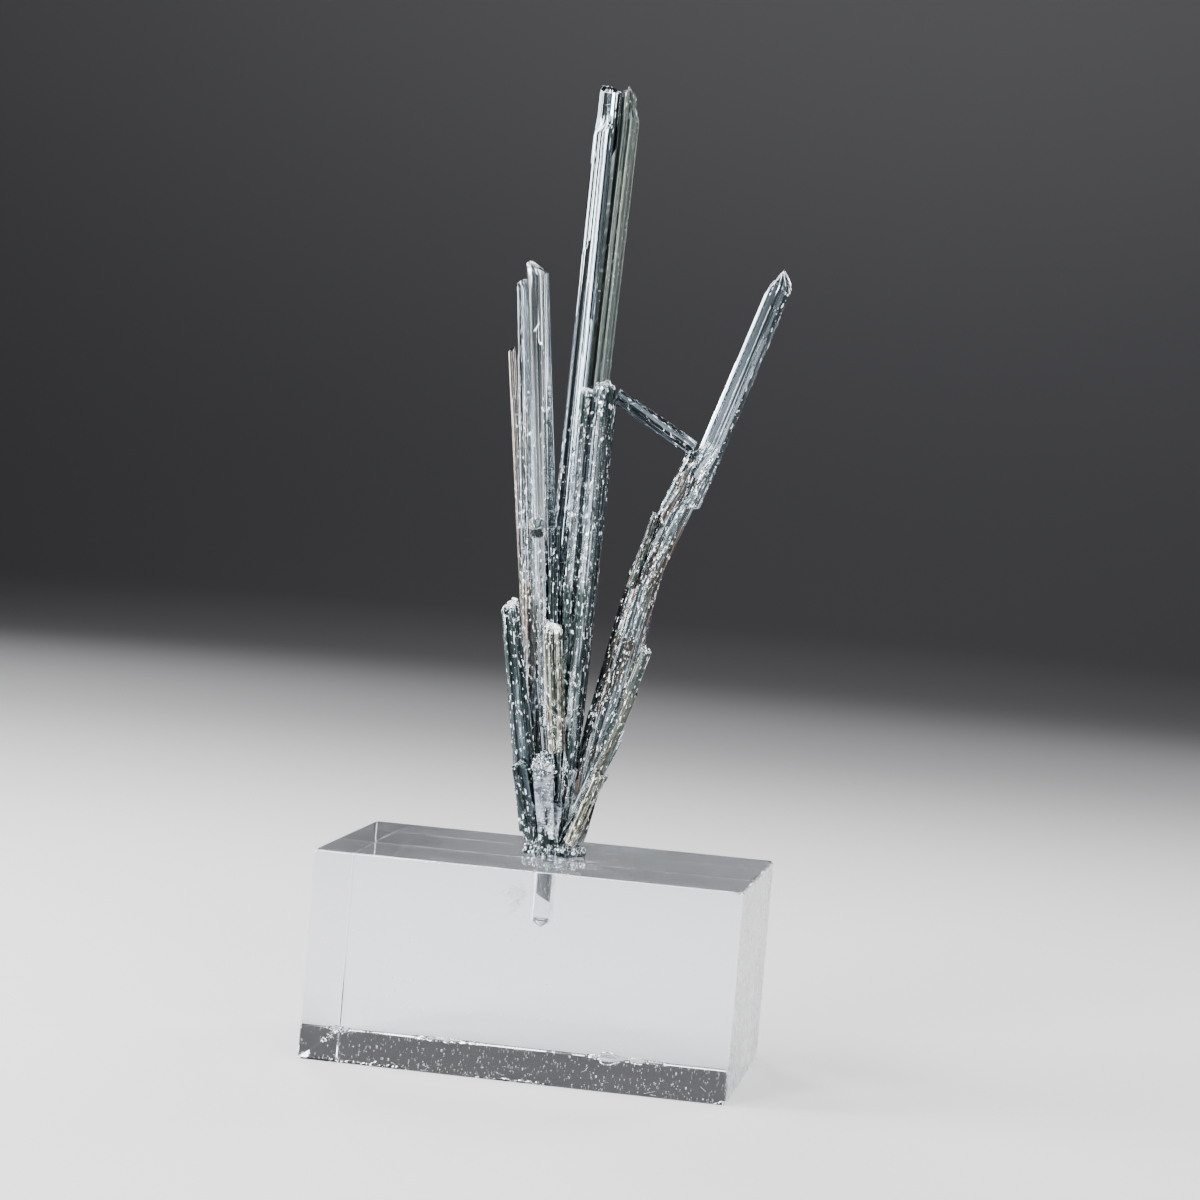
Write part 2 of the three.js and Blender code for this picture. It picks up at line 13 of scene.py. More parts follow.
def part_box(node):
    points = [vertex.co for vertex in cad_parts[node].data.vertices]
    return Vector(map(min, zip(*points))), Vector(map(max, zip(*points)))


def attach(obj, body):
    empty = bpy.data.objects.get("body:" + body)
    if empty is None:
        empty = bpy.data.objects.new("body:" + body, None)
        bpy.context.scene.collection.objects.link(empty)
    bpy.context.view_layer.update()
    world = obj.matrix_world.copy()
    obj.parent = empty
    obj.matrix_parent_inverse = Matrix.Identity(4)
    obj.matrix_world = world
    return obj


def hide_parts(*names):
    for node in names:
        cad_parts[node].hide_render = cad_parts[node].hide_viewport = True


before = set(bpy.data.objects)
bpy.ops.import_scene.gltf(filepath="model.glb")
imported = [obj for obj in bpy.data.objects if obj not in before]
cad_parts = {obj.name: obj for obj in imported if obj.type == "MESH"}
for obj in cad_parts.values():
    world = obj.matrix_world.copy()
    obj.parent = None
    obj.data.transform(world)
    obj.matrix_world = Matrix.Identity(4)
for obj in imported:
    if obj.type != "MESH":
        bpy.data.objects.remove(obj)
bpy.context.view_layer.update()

# ---------------------------------------------------------------------------------------
# The display block: a length of clear cast acrylic, sawn to size and polished on its long
# faces, with a satin sawn end, small edge bevels that are chipped here and there, and a
# blind socket drilled in its top for the root of the spray.

MM = 0.001


class Value:
    """A shader socket. + - and * on it add Math nodes and give the new socket."""

    def __init__(self, paint, socket):
        self.paint = paint
        self.socket = socket

    def _math(self, operation, a, b):
        return self.paint.node("ShaderNodeMath", {"operation": operation}, {0: a, 1: b})

    def __add__(self, other):
        return self._math("ADD", self, other)

    def __radd__(self, other):
        return self._math("ADD", other, self)

    def __sub__(self, other):
        return self._math("SUBTRACT", self, other)

    def __rsub__(self, other):
        return self._math("SUBTRACT", other, self)

    def __mul__(self, other):
        return self._math("MULTIPLY", self, other)

    def __rmul__(self, other):
        return self._math("MULTIPLY", other, self)

    def smaller(self, other):
        return self._math("MINIMUM", self, other)

    def larger(self, other):
        return self._math("MAXIMUM", self, other)


class Paint:
    """A node material with one Principled shader, built by node() and Value arithmetic."""

    def __init__(self, name, **constants):
        self.material = bpy.data.materials.new(name)
        self.material.use_nodes = True
        self.tree = self.material.node_tree
        self.tree.nodes.clear()
        self.shader = self.tree.nodes.new("ShaderNodeBsdfPrincipled")
        self.output = self.tree.nodes.new("ShaderNodeOutputMaterial")
        self.tree.links.new(self.shader.outputs[0], self.output.inputs["Surface"])
        self.set(**constants)

    def set(self, **sockets):
        """Sets or links the shader's sockets, named with _ for each space."""
        for name, value in sockets.items():
            self.plug(self.shader.inputs[name.replace("_", " ")], value)

    def plug(self, socket, value):
        """Links a Value to a socket, or sets it, with full alpha where a colour has none."""
        if isinstance(value, Value):
            self.tree.links.new(value.socket, socket)
        elif isinstance(value, tuple) and len(value) == 3 and len(socket.default_value) == 4:
            socket.default_value = (*value, 1.0)
        else:
            socket.default_value = value

    def node(self, kind, settings=None, inputs=None, output=0):
        """Adds a node: its settings first, then its sockets, and gives one output."""
        made = self.tree.nodes.new(kind)
        for name, value in (settings or {}).items():
            setattr(made, name, value)
        for key, value in (inputs or {}).items():
            self.plug(made.inputs[key], value)
        return Value(self, made.outputs[output])

    def place(self):
        """Object coordinates."""
        return self.node("ShaderNodeTexCoord", output="Object")

    def attribute(self, name, output="Fac"):
        """What the mesh carries under this name."""
        return self.node("ShaderNodeAttribute", {"attribute_name": name}, output=output)

    def stretched(self, vector, scale, location=(0.0, 0.0, 0.0)):
        """A pattern's coordinates, scaled by axis and moved."""
        inputs = {"Vector": vector, "Scale": scale, "Location": location}
        return self.node("ShaderNodeMapping", inputs=inputs)

    def noise(self, vector, scale, detail=3.0, roughness=0.55):
        """Cloudy noise from 0 to 1, about one lump per 1 / scale."""
        inputs = {"Vector": vector, "Scale": scale, "Detail": detail, "Roughness": roughness}
        return self.node("ShaderNodeTexNoise", inputs=inputs)

    def cells(self, vector, scale, feature="F1"):
        """Distance in a pattern of cells: to a cell's point, or to its edge."""
        return self.node("ShaderNodeTexVoronoi", {"feature": feature}, {"Vector": vector, "Scale": scale})

    def ramp(self, value, low, high):
        """0 below low, 1 above high and smooth between."""
        inputs = {"Value": value, "From Min": low, "From Max": high}
        return self.node("ShaderNodeMapRange", {"interpolation_type": "SMOOTHSTEP"}, inputs)

    def mix(self, factor, a, b):
        """Colour a where factor is 0 and b where it is 1."""
        return self.node("ShaderNodeMix", {"data_type": "RGBA"}, {0: factor, 6: a, 7: b}, output=2)

    def bump(self, height, distance, strength=1.0):
        """Bump from a height of 0 to 1 that stands for this many millimetres."""
        inputs = {"Height": height, "Distance": distance * MM, "Strength": strength}
        return self.node("ShaderNodeBump", inputs=inputs)


def mesh_piece(name, points, faces, paint, replaces=(), smooth=True, attributes=None):
    """A piece of the object from points in millimetres and faces, with its paint and place."""
    mesh = bpy.data.meshes.new(name)
    mesh.from_pydata((np.asarray(points) * MM).tolist(), [], [list(map(int, f)) for f in faces])
    mesh.update()
    mesh.shade_smooth() if smooth else mesh.shade_flat()
    for key, values in (attributes or {}).items():
        kind = "FLOAT_VECTOR" if values.ndim == 2 else "FLOAT"
        layer = mesh.attributes.new(key, kind, "POINT")
        layer.data.foreach_set("vector" if values.ndim == 2 else "value", values.ravel())
    piece = bpy.data.objects.new(name, mesh)
    bpy.context.collection.objects.link(piece)
    mesh.materials.append(paint.material)
    if replaces:
        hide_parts(*replaces)
    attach(piece, "root")
    return piece


def grid_faces(rings, around):
    """Quads of a closed tube of rings, with a triangle fan to a pole at each end.

    Point (i, j) is number i * around + j, and the two poles are the last two points.
    """
    i, j = np.meshgrid(np.arange(rings - 1), np.arange(around), indexing="ij")
    k = (j + 1) % around
    quads = np.stack([i * around + j, i * around + k, (i + 1) * around + k, (i + 1) * around + j], -1)
    turn = np.arange(around)
    after = (turn + 1) % around
    first, last = rings * around, rings * around + 1
    low = np.stack([np.full(around, first), after, turn], -1)
    top = (rings - 1) * around
    high = np.stack([np.full(around, last), top + turn, top + after], -1)
    return quads.reshape(-1, 4).tolist() + low.tolist() + high.tolist()


def value_noise(seed, u, v, period=None):
    """Smooth noise from 0 to 1 on arrays u, v, one cell per unit, u repeating after period."""
    rows = 257
    table = np.random.default_rng(seed).random((rows, rows))
    iu, iv = np.floor(u).astype(int), np.floor(v).astype(int)
    fu, fv = u - iu, v - iv
    fu, fv = fu * fu * (3 - 2 * fu), fv * fv * (3 - 2 * fv)
    wrap = int(period) if period else rows
    a, b = np.mod(iu, wrap) % rows, np.mod(iu + 1, wrap) % rows
    c, d = np.mod(iv, rows), np.mod(iv + 1, rows)
    low = table[a, c] * (1 - fu) + table[b, c] * fu
    high = table[a, d] * (1 - fu) + table[b, d] * fu
    return low * (1 - fv) + high * fv


block_low, block_high = (np.array(c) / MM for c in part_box("acrylic_block"))
block_half = (block_high - block_low) / 2
block_middle = (block_high + block_low) / 2
glue_low, glue_high = (np.array(c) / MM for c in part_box("socket_glue"))
SOCKET_GAP = 0.06
DRILL_HALF_ANGLE = 59
socket_centre = (glue_low + glue_high)[:2] / 2
socket_radius = (glue_high - glue_low)[0] / 2 + SOCKET_GAP
socket_tip = glue_low[2] - SOCKET_GAP
socket_shoulder = socket_tip + socket_radius / math.tan(math.radians(DRILL_HALF_ANGLE))
EDGE, EDGE_RINGS, TOOL_MARK = 0.35, 6, 0.006
AROUND = 1200


def rounded_outline(count, half_x, half_y, radius):
    """Points round a rectangle with round corners, evenly by arc, starting at +X."""
    straight_x, straight_y = half_x - radius, half_y - radius
    arc = radius * math.pi / 2
    long_side, short_side = 2 * straight_x, 2 * straight_y
    stops = np.cumsum([0, straight_y, arc, long_side, arc, short_side, arc, long_side, arc, straight_y])
    s = np.linspace(0, stops[-1], count, endpoint=False)
    part = np.searchsorted(stops, s, side="right") - 1
    t = s - stops[part]
    a = t / radius
    sx, sy, r = straight_x, straight_y, radius
    x = np.choose(part, [half_x + 0 * t, sx + r * np.cos(a), sx - t, -sx - r * np.sin(a), -half_x + 0 * t,
                         -sx - r * np.cos(a), -sx + t, sx + r * np.sin(a), half_x + 0 * t])
    y = np.choose(part, [t, sy + r * np.sin(a), half_y + 0 * t, sy + r * np.cos(a), sy - t,
                         -sy - r * np.sin(a), -half_y + 0 * t, -sy - r * np.cos(a), -sy + t])
    return x, y


def block_surface():
    """The block as rings: from the middle of its base out to the edge, up the sides, in over
    the top to the socket's mouth, down its wall and along the drill's cone to a point.

    A ring is outline * spread, at height z. The bevels are quarter rounds. Near the edges
    chips push the surface in by a ridged noise of the place along the edge.
    """
    x, y = rounded_outline(AROUND, block_half[0], block_half[1], EDGE)
    turn = np.arctan2(y / block_half[1], x / block_half[0])
    height = 2 * block_half[2]
    quarter = np.linspace(0, math.pi / 2, EDGE_RINGS)
    rings = []
    for share in (0.3, 0.7, 0.93, 0.97):
        rings.append((x * share, y * share, 0.0 * x))

    def inset(by, z):
        """The outline moved in by some millimetres."""
        return x * (1 - by / block_half[0]), y * (1 - by / block_half[1]), z + 0.0 * x

    def between(start, end, share, z):
        """A ring part of the way from one outline to another: start + (end - start) * share."""
        ring_x, ring_y = (start[k] + (end[k] - start[k]) * share for k in (0, 1))
        return ring_x, ring_y, z + 0.0 * x

    chip_noise = np.abs(value_noise(5, np.arange(AROUND) / 7.0, 0.0 * x, AROUND // 7) - 0.5) * 2
    where = value_noise(6, np.arange(AROUND) / 40.0, 0.0 * x, AROUND // 40)
    chips = np.clip((where - 0.56) / 0.2, 0, 1) * (0.25 + chip_noise) * 1.3
    corner = np.exp(-(((np.abs(x) - block_half[0]) ** 2 + (np.abs(y) - block_half[1]) ** 2) / 1.2))
    chips = chips + corner * (0.5 + 0.9 * chip_noise)
    for a in quarter:
        bite = chips * math.sin(2 * a) * 0.75
        rings.append(inset(EDGE * (1 - math.sin(a)) + bite, EDGE * (1 - math.cos(a)) + bite))
    for z in np.linspace(EDGE + 0.5, height - EDGE - 0.5, 6):
        rings.append(inset(0.0, z))
    nick = np.clip((value_noise(8, np.arange(AROUND) / 30.0, 0.0 * x, AROUND // 30) - 0.78) / 0.2, 0, 1)
    nick = nick * (0.2 + 0.6 * chip_noise) + 0.25 * corner
    for a in quarter:
        bite = nick * math.sin(2 * a) * 0.5
        rings.append(inset(EDGE * (1 - math.cos(a)) + bite, height - EDGE * (1 - math.sin(a)) - bite))
    mouth = (socket_centre[0] + socket_radius * np.cos(turn),
             socket_centre[1] + socket_radius * np.sin(turn))
    edge = inset(EDGE, height)
    for share in (0.03, 0.2, 0.5, 0.8, 0.95):
        rings.append(between(edge, mouth, share, height))
    for z in np.linspace(height, socket_shoulder, 14):
        grip = 1.0 + TOOL_MARK * math.sin(z * 9.0) * (z < height - 0.1)
        rings.append(between(socket_centre, mouth, grip, z))
    for share in (0.8, 0.5, 0.2):
        z = socket_tip + (socket_shoulder - socket_tip) * share
        rings.append(between(socket_centre, mouth, share, z))
    points = np.array(rings).transpose(0, 2, 1).reshape(-1, 3)
    points = np.vstack([points, [0, 0, 0], [*socket_centre, socket_tip]])
    return points + np.array([*block_middle[:2], block_low[2]]), len(rings)


acrylic = Paint("acrylic", Base_Color=(0.93, 0.95, 0.98), IOR=1.49, Transmission_Weight=1.0)
here = acrylic.place()
flat_way = acrylic.stretched(here, (60.0, 900.0, 240.0))
steep_way = acrylic.stretched(here, (420.0, 420.0, 40.0), (3.0, 1.0, 2.0))
scratch_a = acrylic.cells(flat_way, 1.0, "DISTANCE_TO_EDGE")
scratch_b = acrylic.cells(steep_way, 1.0, "DISTANCE_TO_EDGE")
scratches = 1.0 - acrylic.ramp(scratch_a.smaller(scratch_b), 0.0, 0.012)
patches = acrylic.ramp(acrylic.noise(here, 90.0), 0.5, 0.68)
dust = 1.0 - acrylic.ramp(acrylic.cells(here, 700.0), 0.06, 0.11)
dust = dust * acrylic.ramp(acrylic.noise(here, 60.0), 0.52, 0.66)
place_x = acrylic.node("ShaderNodeSeparateXYZ", inputs={0: here}, output=0)
sawn = acrylic.ramp(place_x, (block_half[0] - 0.5) * MM, (block_half[0] - 0.2) * MM)
haze = acrylic.noise(here, 260.0, 5.0)
acrylic.set(
    Roughness=0.012 + scratches * patches * 0.22 + dust * 0.5 + sawn * (0.16 + haze * 0.2),
    Normal=acrylic.bump(sawn * haze * 0.7, 0.02, 0.5),
)
block_points, block_rings = block_surface()
block_faces = grid_faces(block_rings, AROUND)
mesh_piece("acrylic_block_body", block_points, block_faces, acrylic, ["acrylic_block"],
           smooth=False)

# ---------------------------------------------------------------------------------------
# The crystals. Each is a striated prism of grey metallic mineral that grew out of the
# shared root, smooth and bright towards its tip, etched and pitted lower down. Where two
# blades grew side by side as one, each blade is a surface of its own.

SHAFT_SECTIONS, TOP_SECTIONS = 70, 70
TIP_LENGTH, TIP_RINGS = 3.0, 40


def node_triangles(node):
    """Triangles of a CAD node in millimetres, as an array (count, 3, 3)."""
    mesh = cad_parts[node].data
    mesh.calc_loop_triangles()
    points = np.empty(len(mesh.vertices) * 3)
    mesh.vertices.foreach_get("co", points)
    index = np.empty(len(mesh.loop_triangles) * 3, dtype=np.int32)
    mesh.loop_triangles.foreach_get("vertices", index)
    return points.reshape(-1, 3)[index.reshape(-1, 3)] / MM


def long_axis(triangles):
    """The direction that the most face area runs along: the eigenvector of the area-weighted
    sum of n n' with the smallest value, turned upwards, with two directions square to it that
    face right and front.
    """
    normal = np.cross(triangles[:, 1] - triangles[:, 0], triangles[:, 2] - triangles[:, 0])
    area = np.linalg.norm(normal, axis=1) + 1e-12
    spread = (normal[:, :, None] * normal[:, None, :] / area[:, None, None]).sum(0)
    axis = np.linalg.eigh(spread)[1][:, 0]
    axis = axis if axis[2] > 0 else -axis
    front = np.array([0.0, -1.0, 0.0])
    front = front - front.dot(axis) * axis
    front /= np.linalg.norm(front)
    return axis, np.cross(axis, front), front


def sections(triangles, axis, right, front, levels):
    """Segments where planes square to the axis cross the triangles: their two ends in the
    plane's own right and front coordinates, and which of them are real.
    """
    flat = np.stack([triangles @ right, triangles @ front], -1)
    height = triangles @ axis
    start, stop = [0, 1, 2], [1, 2, 0]
    rise = height[:, stop] - height[:, start]
    share = (levels[:, None, None] - height[None, :, start]) / np.where(np.abs(rise) < 1e-9, 1e-9, rise)
    real = (share > 0) & (share < 1) & (np.abs(rise) > 1e-9)
    cross = flat[None, :, start] + share[..., None] * (flat[:, stop] - flat[:, start])[None]
    one = real.argmax(-1)
    two = 2 - real[..., ::-1].argmax(-1)
    a = np.take_along_axis(cross, one[..., None, None], 2)[:, :, 0]
    b = np.take_along_axis(cross, two[..., None, None], 2)[:, :, 0]
    return a, b, real.sum(-1) == 2


def exits(a, b, real, origin, walls, aim):
    """How far a ray goes from each origin before it leaves the section, for every direction
    in aim, stopped early by the walls (normal, distance), which are flat cuts.
    """
    side = (b - a)[:, :, None]
    away = (a - origin[:, None])[:, :, None]
    turn = aim[None, None]
    spin = turn[..., 0] * side[..., 1] - turn[..., 1] * side[..., 0]
    spin = np.where(np.abs(spin) < 1e-12, 1e-12, spin)
    reach = (away[..., 0] * side[..., 1] - away[..., 1] * side[..., 0]) / spin
    along = (away[..., 0] * turn[..., 1] - away[..., 1] * turn[..., 0]) / spin
    good = real[:, :, None] & (along >= -1e-6) & (along <= 1 + 1e-6) & (reach > 1e-4)
    reach = np.where(good, reach, 1e3).min(1)
    reach = np.where(reach > 900, 0.0, reach)
    for normal, distance in walls:
        slope = aim @ normal
        room = (distance - origin @ normal)[:, None] / np.where(slope > 1e-6, slope, 1e-6)[None]
        reach = np.where(slope[None] > 1e-6, np.minimum(reach, np.maximum(room, 0.0)), reach)
    return reach


def blade_core(node, keep=(0.0, 1.0), deep=(0.0, 1.0), around=220, fine_top=4.0, axes=None,
               skip=None, span=None, fixed_walls=()):
    """The outline of one blade of a CAD crystal: its radius by level and direction, the
    middle of each section, and the levels along its axis.

    keep is the share of the width that this blade takes, from left to right, and deep is the
    share of its depth, from back to front. The sections are close together near the tip and
    apart along the shaft. Without axes of its own, the blade follows the crystal's.
    """
    triangles = node_triangles(node)
    axis, right, front = axes or long_axis(triangles)
    height = triangles @ axis
    low, high = height.min(), height.max()
    probe = np.linspace(low + (high - low) * 0.1, low + (high - low) * 0.85, 24)
    a, b, real = sections(triangles, axis, right, front, probe)
    walls_wanted = []
    for which, (first, last) in enumerate((keep, deep)):
        near = np.where(real, np.minimum(a[..., which], b[..., which]), 1e3).min(1)
        far = np.where(real, np.maximum(a[..., which], b[..., which]), -1e3).max(1)
        near_line, far_line = np.polyfit(probe, near, 1), np.polyfit(probe, far, 1)
        normal = np.eye(2)[which]
        if first > 0:
            walls_wanted.append((-normal, -(near_line + first * (far_line - near_line))))
        if last < 1:
            walls_wanted.append((normal, near_line + last * (far_line - near_line)))

    def walls_at(levels):
        """The flat cuts as pairs of a normal and its distance at every level."""
        moving = [(way, np.polyval(line, levels)) for way, line in walls_wanted]
        return moving + [(np.array(way), distance + 0 * levels) for way, distance in fixed_walls]

    def inside(levels):
        """The sections, their middles weighted by segment length, and their total length."""
        a, b, real = sections(triangles, axis, right, front, levels)
        middle = (a + b) / 2
        weight = np.linalg.norm(b - a, axis=-1) * real
        for way, distance in walls_at(levels):
            weight = weight * ((middle @ way) < distance[:, None] + 1e-6)
        total = weight.sum(1)
        centre = (middle * weight[..., None]).sum(1) / np.maximum(total, 1e-9)[:, None]
        return a, b, real, centre, total

    if span:
        low, high = span
    scan = np.linspace(low + 0.02, high - 0.02, 600)
    total = inside(scan)[4]
    live = np.nonzero(total > 0.15 * np.median(total))[0]
    low, high = scan[live[0]], scan[live[-1]]
    shaft = np.linspace(low, high - fine_top, SHAFT_SECTIONS, endpoint=False)
    top = high - fine_top * np.linspace(1, 0, TOP_SECTIONS) ** 1.4
    levels = np.concatenate([shaft, top])
    a, b, real, centre, total = inside(levels)
    aim_angle = np.linspace(-math.pi, math.pi, around, endpoint=False)
    aim = np.stack([np.sin(aim_angle), np.cos(aim_angle)], -1)
    walls = walls_at(levels)
    radius = np.zeros((len(levels), around))
    for attempt in range(3):
        for chunk in np.array_split(np.arange(len(levels)), 14):
            cut = [(way, distance[chunk]) for way, distance in walls]
            radius[chunk] = exits(a[chunk], b[chunk], real[chunk], centre[chunk], cut, aim)
        if attempt < 2:
            pull = (radius ** 3)[..., None] * aim[None] * (2 / 3)
            centre = centre + pull.sum(1) / np.maximum((radius ** 2).sum(1), 1e-9)[:, None]
            if attempt == 1:
                ease = 4
                window = np.ones(2 * ease + 1) / (2 * ease + 1)
                padded = np.pad(centre[:SHAFT_SECTIONS], ((ease, ease), (0, 0)), mode="edge")
                steady = np.stack([np.convolve(padded[:, k], window, "valid") for k in (0, 1)], -1)
                centre[ease:SHAFT_SECTIONS - ease] = steady[ease:-ease]
    if skip:
        share = (levels - low) / (high - low)
        kept = (share < skip[0]) | (share > skip[1])
        spot = np.interp(levels, levels[kept], np.arange(kept.sum()))
        base = np.minimum(spot.astype(int), kept.sum() - 2)
        part = (spot - base)[:, None]
        radius = radius[kept][base] * (1 - part) + radius[kept][base + 1] * part
        centre = centre[kept][base] * (1 - part) + centre[kept][base + 1] * part
    return dict(levels=levels, radius=radius, centre=centre, aim=aim, axis=axis, right=right, front=front)


def smooth_step(x, low, high):
    """0 below low, 1 above high, and t * t * (3 - 2 * t) between."""
    t = np.clip((x - low) / (high - low), 0, 1)
    return t * t * (3 - 2 * t)


def striation(seed, around, perimeter, pitch, depth):
    """Grooves round a blade: straight-sided ribs between random places about a pitch apart,
    every other one pushed in by up to the depth. One value for each direction.
    """
    rng = np.random.default_rng(seed)
    count = 2 * max(6, int(perimeter / pitch / 2))
    places = np.sort(rng.random(count))
    inset = np.where(np.arange(count) % 2 == 0, 0.15 * rng.random(count), 0.35 + 0.65 * rng.random(count))
    turn = np.linspace(0, 1, around, endpoint=False)
    return depth * np.interp(turn, places, inset, period=1.0)


def blade_surface(core, seed, rings, depth=0.12, pitch=0.5, etch=((0, 0.6), (1, 0.1)),
                  rough_tip=0.35, rubble=0.5, worn_flank=None):
    """A striated blade from its outline.

    radius = outline - ribs - ledges - pits - broken tip. The ribs fade from one set into the
    next along the blade. A ledge is a rib that ends: the surface steps in above its end. Pits
    are thresholded noise, long along the blade. The tip and the etched parts are broken up by
    noise in height and direction. An etched and shaded flank, from one share of the way round
    to another (back 0, left 0.25, front 0.5, right 0.75), is etched all the way up, and as the
    etched metal is painted dark this is also a painted shade on that side.
    """
    around = core["radius"].shape[1]
    source = core["levels"]
    low, high = source[0], source[-1]
    length = high - low
    shaft = np.linspace(low, high - TIP_LENGTH, rings - TIP_RINGS, endpoint=False)
    level = np.concatenate([shaft, high - TIP_LENGTH * np.linspace(1, 0, TIP_RINGS) ** 1.3])
    spot = np.interp(level, source, np.arange(len(source)))
    base = np.minimum(spot.astype(int), len(source) - 2)
    part = (spot - base)[:, None]
    radius = core["radius"][base] * (1 - part) + core["radius"][base + 1] * part
    centre = core["centre"][base] * (1 - part) + core["centre"][base + 1] * part
    perimeter = 2 * math.pi * float(np.median(radius.mean(1)))
    turn = np.linspace(0, 1, around, endpoint=False)
    across = (turn * perimeter)[None] + 0 * level[:, None]
    travel = (level - low)[:, None] + 0 * across
    share = (level - low) / length
    worn = np.interp(share, *zip(*etch))[:, None]
    worn = worn * (0.55 + 0.9 * value_noise(seed + 1, across / 1.9, travel / 9.0, perimeter / 1.9))
    if worn_flank:
        start, end = worn_flank
        flank = smooth_step(turn, start, start + 0.03) * (1 - smooth_step(turn, end - 0.03, end))
        worn = worn + 0.55 * flank[None]
    worn = np.clip(worn, 0, 1)

    sets = max(2, int(length / 45))
    ribs = np.zeros_like(radius)
    stops = (np.arange(sets) + 0.5) / sets
    for k in range(sets):
        weight = np.clip(1 - np.abs(share - stops[k]) * sets, 0, 1)[:, None]
        if k == 0:
            weight = np.where(share[:, None] < stops[0], 1.0, weight)
        if k == sets - 1:
            weight = np.where(share[:, None] > stops[-1], 1.0, weight)
        broad = striation(seed * 31 + k // 2, around, perimeter, pitch * 2.6, depth * 1.1)
        sharp = striation(seed * 17 + k, around, perimeter, pitch, depth * 0.8)
        ribs = ribs + weight * (broad + sharp)[None]

    rng = np.random.default_rng(seed * 13 + 5)
    ledges = np.zeros_like(radius)
    for _ in range(14):
        middle, width = rng.random(), 0.02 + 0.06 * rng.random()
        end = low + length * rng.uniform(0.15, 0.97)
        gap = np.abs((turn - middle + 0.5) % 1 - 0.5)
        strip = np.clip((width - gap) / 0.012, 0, 1)
        slant = end + (turn - middle) * rng.uniform(-14, 14)
        past = smooth_step(level[:, None] - slant[None], -0.12, 0.12)
        ledges = ledges + strip[None] * past * rng.uniform(0.05, 0.16)

    pits = value_noise(seed + 2, across / 0.27, travel / 1.05, perimeter / 0.27)
    pits = pits * 0.7 + 0.3 * value_noise(seed + 3, across / 0.14, travel / 0.6, perimeter / 0.14)
    pits = smooth_step(pits, 0.72 - 0.22 * worn, 0.80 - 0.18 * worn) * worn
    lumps = value_noise(seed + 4, across / 0.8, travel / 2.4, perimeter / 0.8) - 0.3

    fall = np.clip(1 - (high - level) / 1.6, 0, 1)[:, None]
    crumble = value_noise(seed + 6, across / 0.45, travel / 0.35, perimeter / 0.45)
    dent = ribs * (1 - 0.3 * worn) + ledges + pits * 0.10 + np.clip(lumps, 0, 1) * worn * 0.16 * rubble
    dent = dent + rough_tip * fall * crumble * 0.7
    dent = np.minimum(dent, radius * 0.45)
    kept = radius - dent
    kept = np.maximum(kept, 0.02)

    broken = value_noise(seed + 7, across / 0.6, travel / 0.6, perimeter / 0.6) - 1.0
    rise = level[:, None] + rough_tip * fall * broken * 0.8
    flat = centre[:, None, :] + kept[..., None] * core["aim"][None]
    points = flat[..., :1] * core["right"] + flat[..., 1:] * core["front"] + rise[..., None] * core["axis"]
    ends = np.array([points[0].mean(0), points[-1].mean(0)])
    points = np.vstack([points.reshape(-1, 3), ends])

    tip_wear = np.clip(1 - (high - level) / (1.2 + 1.5 * rough_tip), 0, 1)[:, None] * rough_tip
    etched = np.clip(worn * (0.2 + 0.6 * pits) + tip_wear, 0, 1)
    groove = np.clip((ribs + ledges) / (depth * 1.6), 0, 1)
    pattern = np.stack([across, travel, 0 * across], -1).reshape(-1, 3)
    pattern = np.vstack([pattern, [0, 0, 0], [0, length, 0]])

    def whole(values):
        """One value for each point, the two poles with those of their rings."""
        values = np.broadcast_to(values, radius.shape).reshape(-1)
        return np.concatenate([values, [values[0], values[-1]]])

    return points, dict(grain=pattern, etched=whole(etched), worn=whole(worn), groove=whole(groove))


